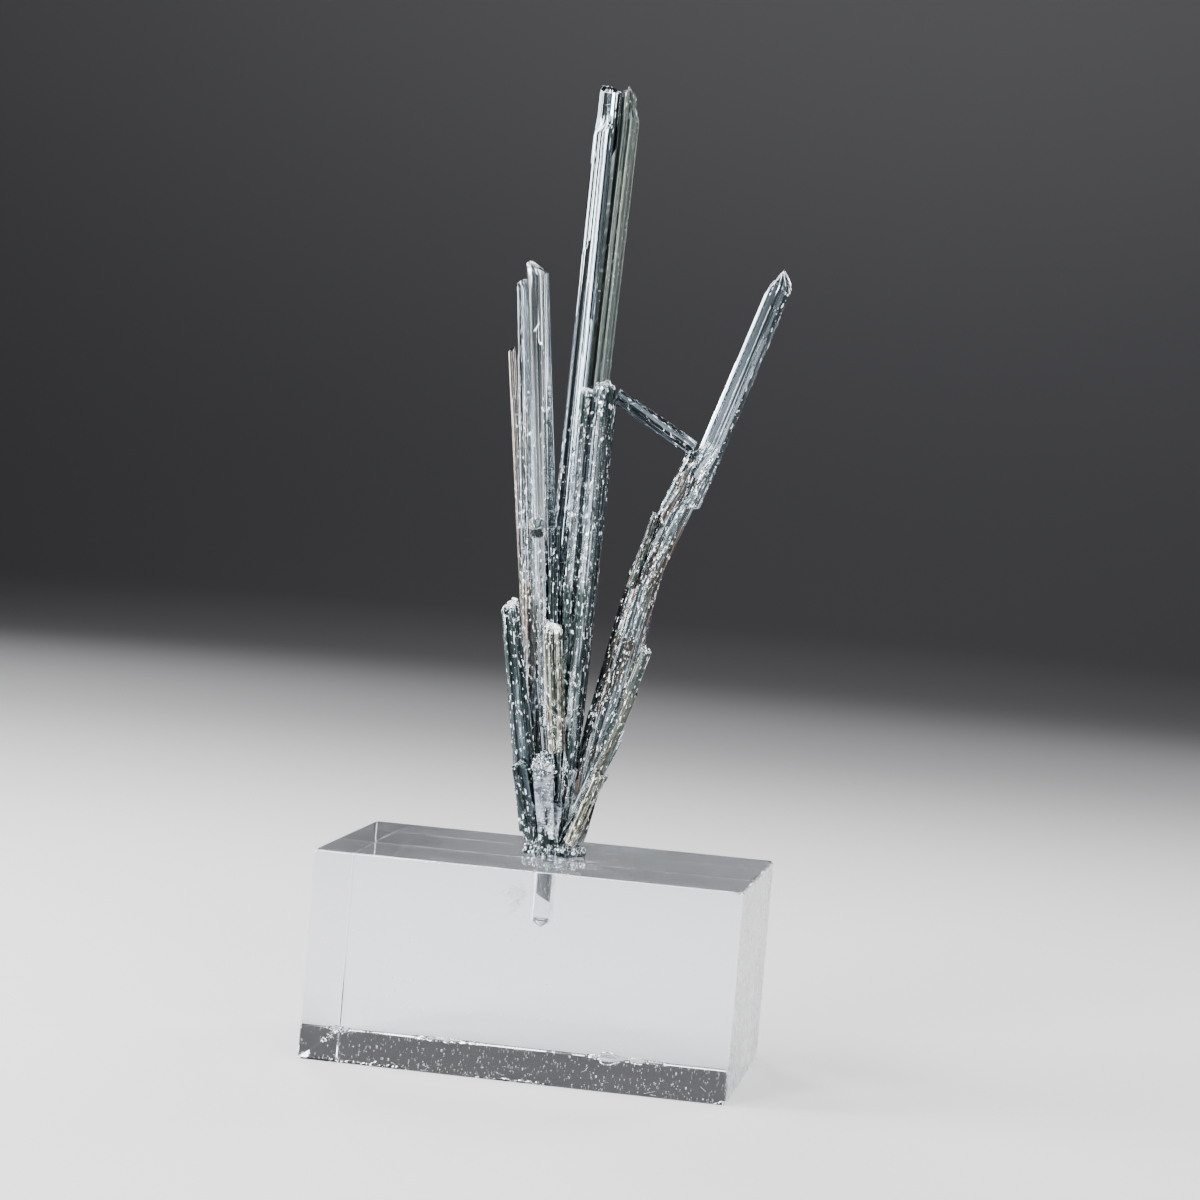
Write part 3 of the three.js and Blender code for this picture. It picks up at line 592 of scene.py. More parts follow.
def stibnite(name, tints, shine=1.0, pits=1.0, dark=0.5, fine=1.0):
    """Metallic mineral, coloured by lines that run true along the blade: broad bands between
    the two first tints, whose pale bands are painted highlight stripes, dark hairlines that are
    painted shade, and patches of the third. Grooves and pits are darkened as painted shade.
    Where it is etched the metal is dark, with short pale flecks along the grain.
    """
    paint = Paint(name)
    grain = paint.attribute("grain", "Vector")
    etched = paint.attribute("etched")
    worn = paint.attribute("worn")
    groove = paint.attribute("groove")
    hair = paint.noise(paint.stretched(grain, (6.0 * fine, 0.01, 1.0)), 1.0, 2.0, 0.6)
    band = paint.noise(paint.stretched(grain, (1.9 * fine, 0.006, 1.0), (7.0, 3.0, 0.0)), 1.0, 2.0, 0.5)
    drift = paint.noise(paint.stretched(grain, (0.5, 0.05, 1.0), (1.0, 9.0, 0.0)), 1.0, 2.0)
    patch = paint.noise(paint.stretched(grain, (0.55, 0.11, 1.0), (4.0, 2.0, 0.0)), 1.0, 2.0)
    fleck_field = paint.noise(paint.stretched(grain, (2.4, 0.7, 1.0)), 1.0, 2.0, 0.6)
    speck_field = paint.noise(paint.stretched(grain, (5.5, 1.9, 1.0), (2.0, 5.0, 0.0)), 1.0, 2.0)
    crumb_field = paint.noise(paint.stretched(grain, (5.0, 3.0, 1.0), (3.0, 0.0, 0.0)), 1.0, 2.0)
    often = paint.ramp(patch, 0.38, 0.62)
    fleck = paint.ramp(fleck_field + worn * 0.03 + often * 0.05, 0.67, 0.69)
    fleck = fleck * paint.ramp(worn, 0.1, 0.3) * pits
    speck = paint.ramp(speck_field + often * 0.05, 0.74, 0.76) * paint.ramp(worn, 0.02, 0.2)
    crumb = paint.ramp(crumb_field + etched * 0.07, 0.59, 0.62) * paint.ramp(etched, 0.5, 0.75)
    pale = fleck.larger(crumb).larger(speck)
    pit = paint.ramp(fleck_field, 0.44, 0.38) * paint.ramp(worn, 0.1, 0.5)
    lines = paint.ramp(hair, 0.455, 0.515)
    # Painted highlight: where this is 1 the second tint fills the band, a stripe of painted reflection
    # along the grain.
    bright = paint.ramp(band, 0.47, 0.53)
    tinted = paint.mix(bright, tints[0], tints[1])
    patches = paint.ramp(drift, 0.47, 0.58) * (0.25 + 0.75 * paint.ramp(worn, 0.25, 0.5))
    tinted = paint.mix(patches, tinted, tints[2])
    # Painted shade in the grooves, along the hairlines and in the pits; the etched metal is darker too,
    # less so in the painted highlight bands.
    shadow = (groove * 0.8).larger((1.0 - lines) * 0.9) * dark * 1.6
    shadow = shadow + worn * (0.66 - bright * 0.62) + pit * 0.5
    colour = paint.mix(shadow.smaller(0.94), tinted, (0.018, 0.028, 0.030))
    colour = paint.mix(pale, colour, (0.88, 0.92, 0.95))
    rough = 0.12 + (1.0 - lines) * 0.08 + worn * 0.14 + pale * 0.25
    height = hair * 0.35 + fleck_field * worn * 0.3 + pale * worn * 0.5
    paint.set(
        Base_Color=colour,
        Metallic=1.0 - pale * 0.75,
        Roughness=rough * (1.0 / shine),
        Normal=paint.bump(height, 0.05, 0.6),
    )
    return paint


# Metal tones. The two palest are far paler than the mineral: where they fill the pale bands they are
# painted highlight.
STEEL_BLUE = (0.31, 0.39, 0.46)
PALE_BLUE = (0.82, 0.92, 0.98)
BROWN_GREY = (0.34, 0.28, 0.24)
OLIVE = (0.40, 0.38, 0.24)
DARK_GREEN = (0.09, 0.125, 0.12)
SMOKE = (0.15, 0.17, 0.20)
HIGHLIGHT_WHITE = (0.92, 0.97, 1.0)
UPRIGHT = (np.array([0.0, 0, 1]), np.array([1.0, 0, 0]), np.array([0.0, -1, 0]))


def middle_point(core, i):
    """Where the middle of a blade's section i lies."""
    flat = core["centre"][i]
    return flat[0] * core["right"] + flat[1] * core["front"] + core["levels"][i] * core["axis"]


def local_axes(node, low, high, below, above):
    """The axes of one straight length of a bent crystal, from the middles of its level
    sections at two heights, and its span along them with some length added at each end.
    """
    core = blade_core(node, around=24, axes=UPRIGHT, span=(low, high))
    foot, tip = middle_point(core, 0), middle_point(core, -1)
    axis = (tip - foot) / np.linalg.norm(tip - foot)
    right = UPRIGHT[1] - axis * axis[0]
    right /= np.linalg.norm(right)
    return (axis, right, np.cross(right, axis)), (foot @ axis - below, tip @ axis + above)


def blade_piece(name, node, core, paint, slot, seed, rings, **looks):
    """A finished blade from its outline. Gives its points."""
    points, marks = blade_surface(core, seed, rings, **looks)
    faces = grid_faces(rings, core["radius"].shape[1])
    mesh_piece(name, points, faces, paint, [node], smooth=False, attributes=marks)
    return points


def crystal(node, name, paint, seed, rings, keep=(0.0, 1.0), deep=(0.0, 1.0), around=220,
            skip=None, bury=(0.0, 0.0), length=None, **looks):
    """One blade of a CAD crystal as a finished piece. Its ends can be buried in what it
    touches: lengthened by a few tenths of a millimetre at the foot and the tip.
    """
    axes, span = local_axes(node, *length) if length else (None, None)
    core = blade_core(node, keep, deep, around, skip=skip, axes=axes, span=span)
    low, high = core["levels"][0], core["levels"][-1]
    longer = (high - low + bury[0] + bury[1]) / (high - low)
    core["levels"] = low - bury[0] + (core["levels"] - low) * longer
    blade_piece(name, node, core, paint, "stibnite", seed, rings, **looks)


# Tall crystal: the front blade is bright, with painted highlight bands, and finely ribbed,
# with a thin layer on its face that ends in a step below the top, the side blade behind it is
# duller, greener and painted near black as painted shade, with a rough shoulder, and a deep
# groove parts them.
front_paint = stibnite("tall_front_stibnite", (STEEL_BLUE, PALE_BLUE, (0.28, 0.36, 0.46)),
                       shine=1.2, dark=0.5)
shaded_side_paint = stibnite("tall_side_shaded_stibnite",
                      ((0.055, 0.065, 0.062), (0.10, 0.115, 0.105), (0.105, 0.10, 0.07)),
                      shine=0.45, pits=0.6, dark=0.4)
SMOOTH_ETCH = ((0, 0.9), (0.35, 0.45), (0.6, 0.06), (1, 0.0))
crystal("tall_crystal", "tall_front_layer", front_paint, 12, 260, (0.02, 0.50), (0.84, 1.0), around=200,
        etch=SMOOTH_ETCH, rough_tip=0.1)
crystal("tall_crystal", "tall_front_blade", front_paint, 11, 280, (0.0, 0.52), (0.0, 0.9), around=280,
        etch=SMOOTH_ETCH, rough_tip=0.12)
crystal("tall_crystal", "tall_side_blade", shaded_side_paint, 13, 280, (0.47, 1.0), around=280,
        etch=((0, 0.9), (0.35, 0.5), (0.6, 0.2), (0.95, 0.15), (1, 0.6)), rough_tip=0.6, depth=0.08)

# Centre crystal: two broad blades with blunt, etched and lumpy tops, deeply ribbed, with
# flecks nearly all the way up.
centre_paint = stibnite("centre_stibnite", (STEEL_BLUE, PALE_BLUE, DARK_GREEN), dark=0.6)
CENTRE_ETCH = ((0, 0.9), (0.45, 0.55), (0.85, 0.32), (1, 0.5))
crystal("centre_crystal", "centre_left_blade", centre_paint, 21, 230, (0.0, 0.47), around=280,
        etch=CENTRE_ETCH, rough_tip=0.7, depth=0.16, pitch=0.6)
crystal("centre_crystal", "centre_right_blade", centre_paint, 22, 230, (0.42, 1.0), around=280,
        etch=CENTRE_ETCH, rough_tip=0.8, depth=0.16, pitch=0.6)

# Left group: the bright crystal, painted nearly white as a painted highlight, with its clean
# oblique end and a small stub grown across its front, the dull crystal behind it, whose
# brown-grey is a painted reflection, and a thin needle outermost.
highlight_paint = stibnite("painted_highlight_stibnite", (PALE_BLUE, HIGHLIGHT_WHITE, STEEL_BLUE), shine=1.25, dark=0.25)
brown_reflection_paint = stibnite("brown_reflection_stibnite", (BROWN_GREY, STEEL_BLUE, BROWN_GREY), shine=0.75, dark=0.5)
needle_paint = stibnite("needle_stibnite", (SMOKE, BROWN_GREY, DARK_GREEN), shine=0.8)
STUB_SPAN = (0.36, 0.47)
crystal("left_bright_crystal", "bright_blade", highlight_paint, 31, 260, around=240, skip=STUB_SPAN,
        etch=((0, 0.9), (0.3, 0.5), (0.5, 0.1), (1, 0.0)), rough_tip=0.08, depth=0.06)
crystal("left_brown_crystal", "brown_blade", brown_reflection_paint, 32, 260, around=240,
        etch=((0, 0.8), (0.5, 0.35), (1, 0.1)), rough_tip=0.3)
crystal("left_sliver", "outer_needle", needle_paint, 33, 160, around=90,
        etch=((0, 0.5), (1, 0.1)), rough_tip=0.1, depth=0.05, pitch=0.25)


# The stub's own sections are cut across the way it sticks out, from just in front of the
# shaft, and its first ring is sunk into the shaft.
bright_triangles = node_triangles("left_bright_crystal")
bright_axis, bright_right, bright_front = long_axis(bright_triangles)
bright_height = bright_triangles.reshape(-1, 3) @ bright_axis
bright_lean = bright_triangles.reshape(-1, 3) @ bright_front
bright_share = (bright_height - bright_height.min()) / np.ptp(bright_height)
beyond = (bright_share < STUB_SPAN[0]) | (bright_share > STUB_SPAN[1])
stub_foot = bright_lean[beyond].max() + 0.02
STUB_SUNK = 2.2
stub_core = blade_core("left_bright_crystal", around=120, fine_top=0.8, span=(stub_foot, bright_lean.max()),
                       axes=(bright_front, -bright_right, bright_axis))
stub_core["levels"][0] -= STUB_SUNK
blade_piece("bright_stub", "left_bright_crystal", stub_core, needle_paint, "stibnite", 36, 70,
            etch=((0, 0.5), (1, 0.5)), rough_tip=0.4, depth=0.1)


# Inner short crystal and the pale front blade: short blades in front of the long ones, the
# pale one with an olive face and a white broken top.
inner_paint = stibnite("inner_stibnite", (SMOKE, STEEL_BLUE, DARK_GREEN), dark=0.6)
pale_paint = stibnite("pale_stibnite", ((0.46, 0.46, 0.30), (0.68, 0.72, 0.62), (0.42, 0.38, 0.26)),
                      dark=0.4)
crystal("inner_short_crystal", "inner_short_blade", inner_paint, 41, 110, around=150,
        etch=((0, 0.8), (1, 0.5)), rough_tip=0.5)
crystal("front_pale_blade", "pale_blade", pale_paint, 42, 120, around=200,
        etch=((0, 0.9), (0.7, 0.5), (1, 0.9)), rough_tip=0.9, depth=0.1)

# Right group: the long leaning crystal, smooth and striped above the place where the cross
# piece meets it and thick and deeply pitted below, the sliver on its flank, and two blades
# that show behind it.
right_paint = stibnite("right_stibnite", (STEEL_BLUE, PALE_BLUE, (0.26, 0.165, 0.115)), dark=0.6)
upper_paint = stibnite("right_upper_stibnite", (STEEL_BLUE, PALE_BLUE, SMOKE), shine=1.2, dark=0.55,
                       fine=0.5)
olive_paint = stibnite("olive_stibnite", (OLIVE, SMOKE, DARK_GREEN), dark=0.5)
violet_paint = stibnite("violet_stibnite", ((0.24, 0.20, 0.30), SMOKE, (0.28, 0.24, 0.32)), dark=0.4)
crystal("right_crystal", "right_lower_length", right_paint, 51, 190, around=236, length=(46, 82, 8, 6),
        etch=((0, 0.8), (1, 0.7)), rough_tip=0.1, depth=0.15)
crystal("right_crystal", "right_middle_length", right_paint, 57, 150, around=236, length=(84, 106, 6, 5),
        etch=((0, 0.75), (1, 0.6)), rough_tip=0.1, depth=0.15)
# The upper length's right flank is etched all the way up and so painted dark: painted shade on the side
# that faces away from the light.
crystal("right_crystal", "right_upper_length", upper_paint, 58, 200, around=236, length=(116, 138, 9, 14),
        etch=((0, 0.8), (0.12, 0.3), (0.3, 0.04), (0.9, 0.04), (1, 0.3)), rough_tip=0.12, depth=0.13,
        worn_flank=(0.61, 0.9))
crystal("right_sliver", "right_flank_sliver", olive_paint, 52, 90, around=110,
        etch=((0, 0.6), (1, 0.3)), rough_tip=0.4, depth=0.06, pitch=0.25)
crystal("right_back_blade", "back_blade", needle_paint, 53, 90, around=110,
        etch=((0, 0.6), (1, 0.2)), rough_tip=0.2, depth=0.06)
crystal("back_splinter", "back_splinter_blade", violet_paint, 54, 90, around=110,
        etch=((0, 0.5), (1, 0.1)), rough_tip=0.1, depth=0.04)
crystal("right_short_crystal", "right_short_blade", olive_paint, 55, 150,
        etch=((0, 0.7), (0.6, 0.5), (1, 0.3)), rough_tip=0.8)
crystal("lower_right_stub", "lower_right_blade", pale_paint, 56, 80, around=150,
        etch=((0, 0.6), (1, 0.3)), rough_tip=0.5, depth=0.07)

# Left stubs: two short dark blades with rough tops against the left of the root.
stub_paint = stibnite("stub_stibnite", (SMOKE, STEEL_BLUE, DARK_GREEN), dark=0.6)
crystal("left_stub", "left_stub_blade", stub_paint, 61, 160,
        etch=((0, 0.6), (0.6, 0.6), (1, 0.95)), rough_tip=1.0, depth=0.12)
crystal("lower_left_stub", "lower_left_blade", stub_paint, 62, 80, around=150,
        etch=((0, 0.5), (1, 0.4)), rough_tip=0.6, depth=0.07)

# Cross piece: a clean striated blade from the centre crystal's top to the right crystal.
bridge_paint = stibnite("bridge_stibnite", (STEEL_BLUE, SMOKE, PALE_BLUE), shine=1.1, dark=0.5)
crystal("bridge_crystal", "cross_blade", bridge_paint, 71, 120, around=200,
        etch=((0, 0.3), (0.5, 0.2), (1, 0.3)), rough_tip=0.12, depth=0.06, bury=(1.3, 1.0))

# Socket cement: clear, set hard, poured round the stem and level with the block's top, a
# little hazy where small bubbles stayed in it.
cement = Paint("cement", Base_Color=(0.9, 0.92, 0.94), IOR=1.47, Transmission_Weight=1.0)
cement_haze = cement.noise(cement.place(), 900.0)
cement.set(Roughness=0.02 + cement.ramp(cement_haze, 0.5, 0.7) * 0.1,
           Normal=cement.bump(cement_haze, 0.15, 0.5))


CEMENT_AROUND, CEMENT_RISE = 160, 0.01


def cement_surface():
    """Turned shape about the socket: up the cone and the bore and in over the block's top."""
    bore, cone = socket_radius - SOCKET_GAP, socket_shoulder - socket_tip
    top = block_high[2]
    profile = [(share * bore, socket_tip + SOCKET_GAP + share * cone) for share in (0.2, 0.6)]
    profile += [(bore, socket_shoulder)]
    profile += [(bore, z) for z in np.linspace(socket_shoulder + 0.3, top, 12)]
    profile += [(bore * 0.98, top + CEMENT_RISE)]
    profile = np.array(profile)
    turn = np.linspace(0, 2 * math.pi, CEMENT_AROUND, endpoint=False)
    r = profile[:, 0][:, None] * (1 + 0 * turn)
    z = profile[:, 1][:, None] + 0 * turn
    points = np.stack([socket_centre[0] + r * np.cos(turn), socket_centre[1] + r * np.sin(turn), z], -1)
    poles = [[*socket_centre, socket_tip + SOCKET_GAP], [*socket_centre, top + CEMENT_RISE]]
    return np.vstack([points.reshape(-1, 3), poles]), len(profile)


cement_points, cement_rings = cement_surface()
mesh_piece("socket_cement", cement_points, grid_faces(cement_rings, CEMENT_AROUND), cement,
           ["socket_glue"])

# A cloudy flaw inside the block, left of the socket: a thin curved sheet where the drill
# crazed the acrylic, with pale arcs one inside the other like a shell.
FLAW_REACH, FLAW_DROP, FLAW_TOP, FLAW_SKIN = 6.5, 13.0, 6.2, 0.03
flaw_paint = Paint("crazed_acrylic", Roughness=0.35)
flaw_place = flaw_paint.attribute("grain", "Vector")
flaw_noise = flaw_paint.noise(flaw_paint.stretched(flaw_place, (2.2, 0.35, 1.0)), 1.0, 3.0)
flaw_arcs = flaw_paint.ramp(flaw_noise, 0.52, 0.60)
flaw_fade = flaw_paint.attribute("worn")
flaw_paint.set(
    Base_Color=flaw_paint.mix(flaw_arcs, (0.62, 0.64, 0.68), (0.95, 0.95, 0.93)),
    Alpha=(flaw_arcs * 0.75 + 0.22) * flaw_fade,
    Normal=flaw_paint.bump(flaw_noise, 0.2, 0.8),
)


def flaw_surface(rows=60, columns=90):
    """Half a fan hanging from the socket's left wall: out by reach * (0..1), down by angle,
    waved by two sines, and closed by a second skin just behind and a rim between them.
    """
    t, v = np.meshgrid(np.linspace(0, 1, rows), np.linspace(0, 1, columns), indexing="ij")
    angle = math.radians(100) + v * math.radians(150)
    edge = 0.75 + 0.25 * np.sin(v * 9.0) * np.sin(v * 23.0 + 1.0)
    x = socket_centre[0] - socket_radius - 0.1 - FLAW_REACH * t * edge * np.abs(np.cos(angle)) ** 0.6
    z = block_high[2] - FLAW_TOP + FLAW_DROP * 0.5 * t * edge * np.sin(angle) - 1.5 * t
    y = socket_centre[1] - 0.4 - 1.6 * t + 0.35 * np.sin(5 * t + 7 * v) + 0.15 * np.sin(17 * t)
    front = np.stack([x, y, z], -1)
    back = front + np.array([0, FLAW_SKIN, 0])
    points = np.vstack([front.reshape(-1, 3), back.reshape(-1, 3)])
    i, j = np.meshgrid(np.arange(rows - 1), np.arange(columns - 1), indexing="ij")
    corner = i * columns + j
    near = np.stack([corner, corner + columns, corner + columns + 1, corner + 1], -1).reshape(-1, 4)
    far = near[:, ::-1] + rows * columns
    last_row = (rows - 1) * columns
    rim = np.concatenate([np.arange(columns), np.arange(1, rows) * columns + columns - 1,
                          last_row + np.arange(columns - 2, -1, -1), np.arange(rows - 2, 0, -1) * columns])
    after = np.roll(rim, -1)
    edge_faces = np.stack([rim, after, after + rows * columns, rim + rows * columns], -1)
    grain = np.stack([t * 6, v * 10, 0 * t], -1).reshape(-1, 3)
    fade = (np.sin(np.clip(t * 1.1, 0, 1) * math.pi) * np.sin(v * math.pi)).reshape(-1)
    faces = np.vstack([near, far, edge_faces]).tolist()
    return points, faces, dict(grain=np.vstack([grain, grain]), worn=np.concatenate([fade, fade]))


flaw_points, flaw_faces, flaw_marks = flaw_surface()
mesh_piece("block_flaw", flaw_points, flaw_faces, flaw_paint, ["acrylic_block"],
           attributes=flaw_marks)

# Root: the shared foot of the spray, frosted and mottled in front, with its stem down in the
# socket and knobs of small dark crystals round the base.
# The root body is painted near black: painted shade on the foot under the blades and on the stem in the
# socket.
shaded_root_paint = stibnite("shaded_root_stibnite", ((0.05, 0.07, 0.07), SMOKE, (0.03, 0.045, 0.045)),
                      shine=0.8, dark=0.6)
frosted_paint = Paint("frosted_stibnite")
frosted_spot = frosted_paint.place()
clouds = frosted_paint.noise(frosted_spot, 900.0, 4.0, 0.6)
glints = frosted_paint.ramp(frosted_paint.noise(frosted_spot, 2600.0, 2.0), 0.6, 0.68)
foot_grains = frosted_paint.ramp(frosted_paint.attribute("worn"), 0.35, 0.7) * frosted_paint.ramp(
    frosted_paint.noise(frosted_spot, 1500.0, 2.0), 0.45, 0.55)
frosted_tone = frosted_paint.mix(frosted_paint.ramp(clouds, 0.42, 0.58),
                                 (0.06, 0.075, 0.095), (0.36, 0.41, 0.47))
# Painted shade: darker in the grooves.
frosted_tone = frosted_paint.mix(frosted_paint.attribute("groove") * 0.5, frosted_tone, (0.08, 0.09, 0.11))
frosted_tone = frosted_paint.mix(glints.larger(foot_grains) * 0.85, frosted_tone, (0.88, 0.90, 0.94))
frosted_paint.set(
    Base_Color=frosted_tone,
    Metallic=0.75 - glints * 0.5,
    Roughness=0.34 + clouds * 0.2,
    Normal=frosted_paint.bump(clouds * 0.6 + glints * 0.4 + foot_grains * 0.5, 0.12, 0.8),
)
root_low = node_triangles("root_mass")[..., 2].min()
CORE_TOP, FACE_FOOT, FACE_TOP, FACE_BACK = 47.0, 40.6, 56.6, 1.9
root_core = blade_core("root_mass", around=240, axes=UPRIGHT, fine_top=2.0, span=(root_low, CORE_TOP))
root_points = blade_piece("root_body", "root_mass", root_core, shaded_root_paint, "root_crust", 81, 180,
                          depth=0.05, pitch=0.8, rubble=1.6, rough_tip=0.5,
                          etch=((0, 0.5), (0.4, 0.6), (0.5, 0.9), (1, 0.7)))
face_core = blade_core("root_mass", around=240, axes=UPRIGHT, fine_top=2.5, span=(FACE_FOOT, FACE_TOP),
                       fixed_walls=[((0.0, -1.0), -FACE_BACK)])
face_points = blade_piece("frosted_face", "root_mass", face_core, frosted_paint, "root_crust", 82, 170,
                          depth=0.05, pitch=1.2, rubble=1.2, rough_tip=0.7,
                          etch=((0, 0.8), (0.3, 0.3), (0.7, 0.2), (1, 0.8)))


def needles(name, feet, tips, width, seed, paint, replaces, sides=12):
    """Small ribbed prisms from foot to tip as one mesh: rings of radius
    width * (1 or 0.78 by turns) that taper by a quarter and end in a slanting face.
    """
    rng = np.random.default_rng(seed)
    count = len(feet)
    way = tips - feet
    length = np.linalg.norm(way, axis=1)
    way = way / length[:, None]
    one = np.cross(way, rng.normal(size=(count, 3)))
    one /= np.linalg.norm(one, axis=1)[:, None]
    two = np.cross(way, one)
    turn = np.arange(sides) * 2 * math.pi / sides
    rib = np.where(np.arange(sides) % 2 == 0, 1.0, 0.78) * rng.uniform(0.8, 1.1, (count, sides))
    flat = rng.uniform(0.5, 0.9, count)[:, None]
    share = np.array([0.0, 0.45, 0.97, 1.0])
    taper = np.array([1.0, 0.95, 0.8, 0.66])
    slant = rng.uniform(-0.7, 0.7, count)[:, None] * np.cos(turn) * width[:, None] * 1.3
    radius = width[:, None, None] * taper[None, :, None] * rib[:, None, :]
    along = length[:, None, None] * share[None, :, None] + slant[:, None, :] * (share > 0.9)[None, :, None]
    points = (feet[:, None, None, :] + way[:, None, None, :] * along[..., None]
              + one[:, None, None, :] * (radius * np.cos(turn))[..., None]
              + two[:, None, None, :] * (radius * flat[:, None] * np.sin(turn))[..., None])
    middle = np.stack([points[:, 0].mean(1), points[:, -1].mean(1)], 1)
    points = np.concatenate([points.reshape(count, -1, 3), middle], 1)
    stride = 4 * sides + 2
    one_needle = grid_faces(len(share), sides)
    faces = [[corner + k * stride for corner in face] for k in range(count) for face in one_needle]
    spot = np.broadcast_to((turn * width[:, None])[:, None, :], radius.shape).reshape(count, -1)
    spot = np.concatenate([spot, np.zeros((count, 2))], 1) + np.arange(count)[:, None] * 7.0
    travel = np.concatenate([along.reshape(count, -1), np.zeros((count, 1)), length[:, None]], 1)
    grain = np.stack([spot, travel, 0 * travel], -1).reshape(-1, 3)
    tip_wear = np.array([0.1, 0.2, 0.5, 0.75])[None, :, None]
    tip_wear = np.broadcast_to(tip_wear, radius.shape).reshape(count, -1)
    tip_wear = np.concatenate([tip_wear, np.full((count, 2), 0.7)], 1).reshape(-1)
    wear = np.repeat(rng.uniform(0.1, 0.8, count), stride)
    marks = dict(grain=grain, etched=tip_wear, worn=wear, groove=0.3 + 0 * wear)
    mesh_piece(name, points.reshape(-1, 3), faces, paint, replaces, smooth=False, attributes=marks)


ROUGH_AROUND = 24


def foot_line(node):
    """A crystal's foot, its way up, its right and front, and its shaft's mean half-widths."""
    core = blade_core(node, around=ROUGH_AROUND)
    foot, upper = middle_point(core, 2), middle_point(core, 100)
    way = (upper - foot) / np.linalg.norm(upper - foot)
    return foot, way, core["right"], core["front"], core["radius"][:SHAFT_SECTIONS].mean(0)


# Small blades grown between and along the large ones, from the root's middle outwards.
rng = np.random.default_rng(90)
STEMMED = {"tall_crystal": 10, "centre_crystal": 16, "left_bright_crystal": 12, "left_brown_crystal": 14,
           "right_crystal": 16, "right_short_crystal": 8, "left_stub": 7, "front_pale_blade": 9,
           "inner_short_crystal": 6, "lower_right_stub": 4, "lower_left_stub": 4, "right_back_blade": 4}
feet, tips, widths = [], [], []
root_foot = np.array([0.3, 0.0, 39.0])
for node, count in STEMMED.items():
    base, way, right_way, front_way, reach = foot_line(node)
    lift = rng.uniform(0.1, 1.0, count) ** 1.5 * rng.uniform(9, 26)
    angle = rng.uniform(-2.4, 2.4, count)
    out = np.interp(angle, np.linspace(-math.pi, math.pi, ROUGH_AROUND, endpoint=False), reach)
    out = out * rng.uniform(0.72, 0.98, count)
    side = (np.sin(angle) * out)[:, None] * right_way + (np.cos(angle) * out)[:, None] * front_way
    tip = base + way * (lift + 2.0)[:, None] + side
    foot = root_foot + (base + side - root_foot) * 0.45
    feet.append(foot)
    tips.append(tip)
    widths.append(rng.uniform(0.28, 0.62, count))
feet, tips, widths = np.vstack(feet), np.vstack(tips), np.concatenate(widths)
filler_paint = stibnite("filler_stibnite", (SMOKE, PALE_BLUE, DARK_GREEN), dark=0.5)
needles("root_blades", feet, tips, widths, 91, filler_paint, ["root_mass"])


# A fan of thin blades from the right crystal's back out to the splinter beside it, which
# holds the splinter on.
splinter_base, splinter_way = foot_line("back_splinter")[:2]
right_base, right_up = foot_line("right_crystal")[:2]
FAN = 9
fan_rise = rng.uniform(-1.0, 6.0, FAN)
fan_tips = splinter_base + splinter_way * (fan_rise + 4.0)[:, None] + rng.normal(0, 0.25, (FAN, 3))
beside = splinter_base + splinter_way * (fan_rise - 3.0)[:, None]
fan_feet = beside + (right_base + right_up * ((beside - right_base) @ right_up)[:, None] - beside) * 0.55
needles("splinter_fan", fan_feet, fan_tips, rng.uniform(0.25, 0.5, FAN), 98, filler_paint,
        ["back_splinter"])


def grains(name, places, size, seed, paint, replaces, stretch=1.3):
    """Faceted grains as one mesh: each is an uneven twelve-cornered ball, turned at random.
    A corner is place + turn * (corner * size * (0.7 to 1.2)).
    """
    rng = np.random.default_rng(seed)
    golden = (1 + math.sqrt(5)) / 2
    corners = np.array([[0, i, j * golden] for i in (-1, 1) for j in (-1, 1)])
    corners = np.vstack([corners, corners[:, [1, 2, 0]], corners[:, [2, 0, 1]]]) / 1.9
    gap = np.linalg.norm(corners[:, None] - corners[None], axis=-1)
    near = (gap > 0.1) & (gap < 1.2)
    trios = [(i, j, k) for i in range(12) for j in range(i + 1, 12) for k in range(j + 1, 12)
             if near[i, j] and near[j, k] and near[i, k]]
    outward = [np.dot(np.cross(corners[j] - corners[i], corners[k] - corners[i]), corners[i]) > 0
               for i, j, k in trios]
    trios = [(i, j, k) if good else (i, k, j) for (i, j, k), good in zip(trios, outward)]
    count = len(places)
    turn = np.linalg.qr(rng.normal(size=(count, 3, 3)))[0]
    turn[np.linalg.det(turn) < 0, :, 0] *= -1
    shape = corners[None] * rng.uniform(0.7, 1.2, (count, 12, 1)) * np.array([1, 1, stretch])
    points = np.einsum("nij,nkj->nki", turn, shape) * size[:, None, None] + places[:, None]
    faces = (np.array(trios)[None] + (np.arange(count) * 12)[:, None, None]).reshape(-1, 3).tolist()
    wear = np.repeat(rng.uniform(0.0, 1.0, count), 12)
    marks = dict(grain=points.reshape(-1, 3) * 1.3, etched=wear, worn=0.3 + 0.3 * wear, groove=0 * wear)
    mesh_piece(name, points.reshape(-1, 3), faces, paint, replaces, smooth=False, attributes=marks)


# Crusts of small grains: a dark beaded ring where the root meets the block, broken pale
# patches on the root's front and about the feet of the short blades.
surface, face_skin = root_points[:-2], face_points[:-2]
top_of_block = block_high[2]
ring_zone = np.nonzero((surface[:, 2] > top_of_block + 0.3) & (surface[:, 2] < top_of_block + 2.4))[0]
front_zone = np.nonzero((face_skin[:, 2] > FACE_TOP - 4.5) & (face_skin[:, 1] < -2.0))[0]
BEADS, CRUMBS = 420, 260
ring_spots = surface[rng.choice(ring_zone, BEADS)] * np.array([0.95, 0.95, 1])
front_spots = face_skin[rng.choice(front_zone, CRUMBS)]
front_spots = front_spots + rng.normal(0, 0.35, (CRUMBS, 3)) * np.array([1, 0.5, 1.2])
ring_paint = stibnite("ring_stibnite", (SMOKE, STEEL_BLUE, DARK_GREEN), dark=0.55)
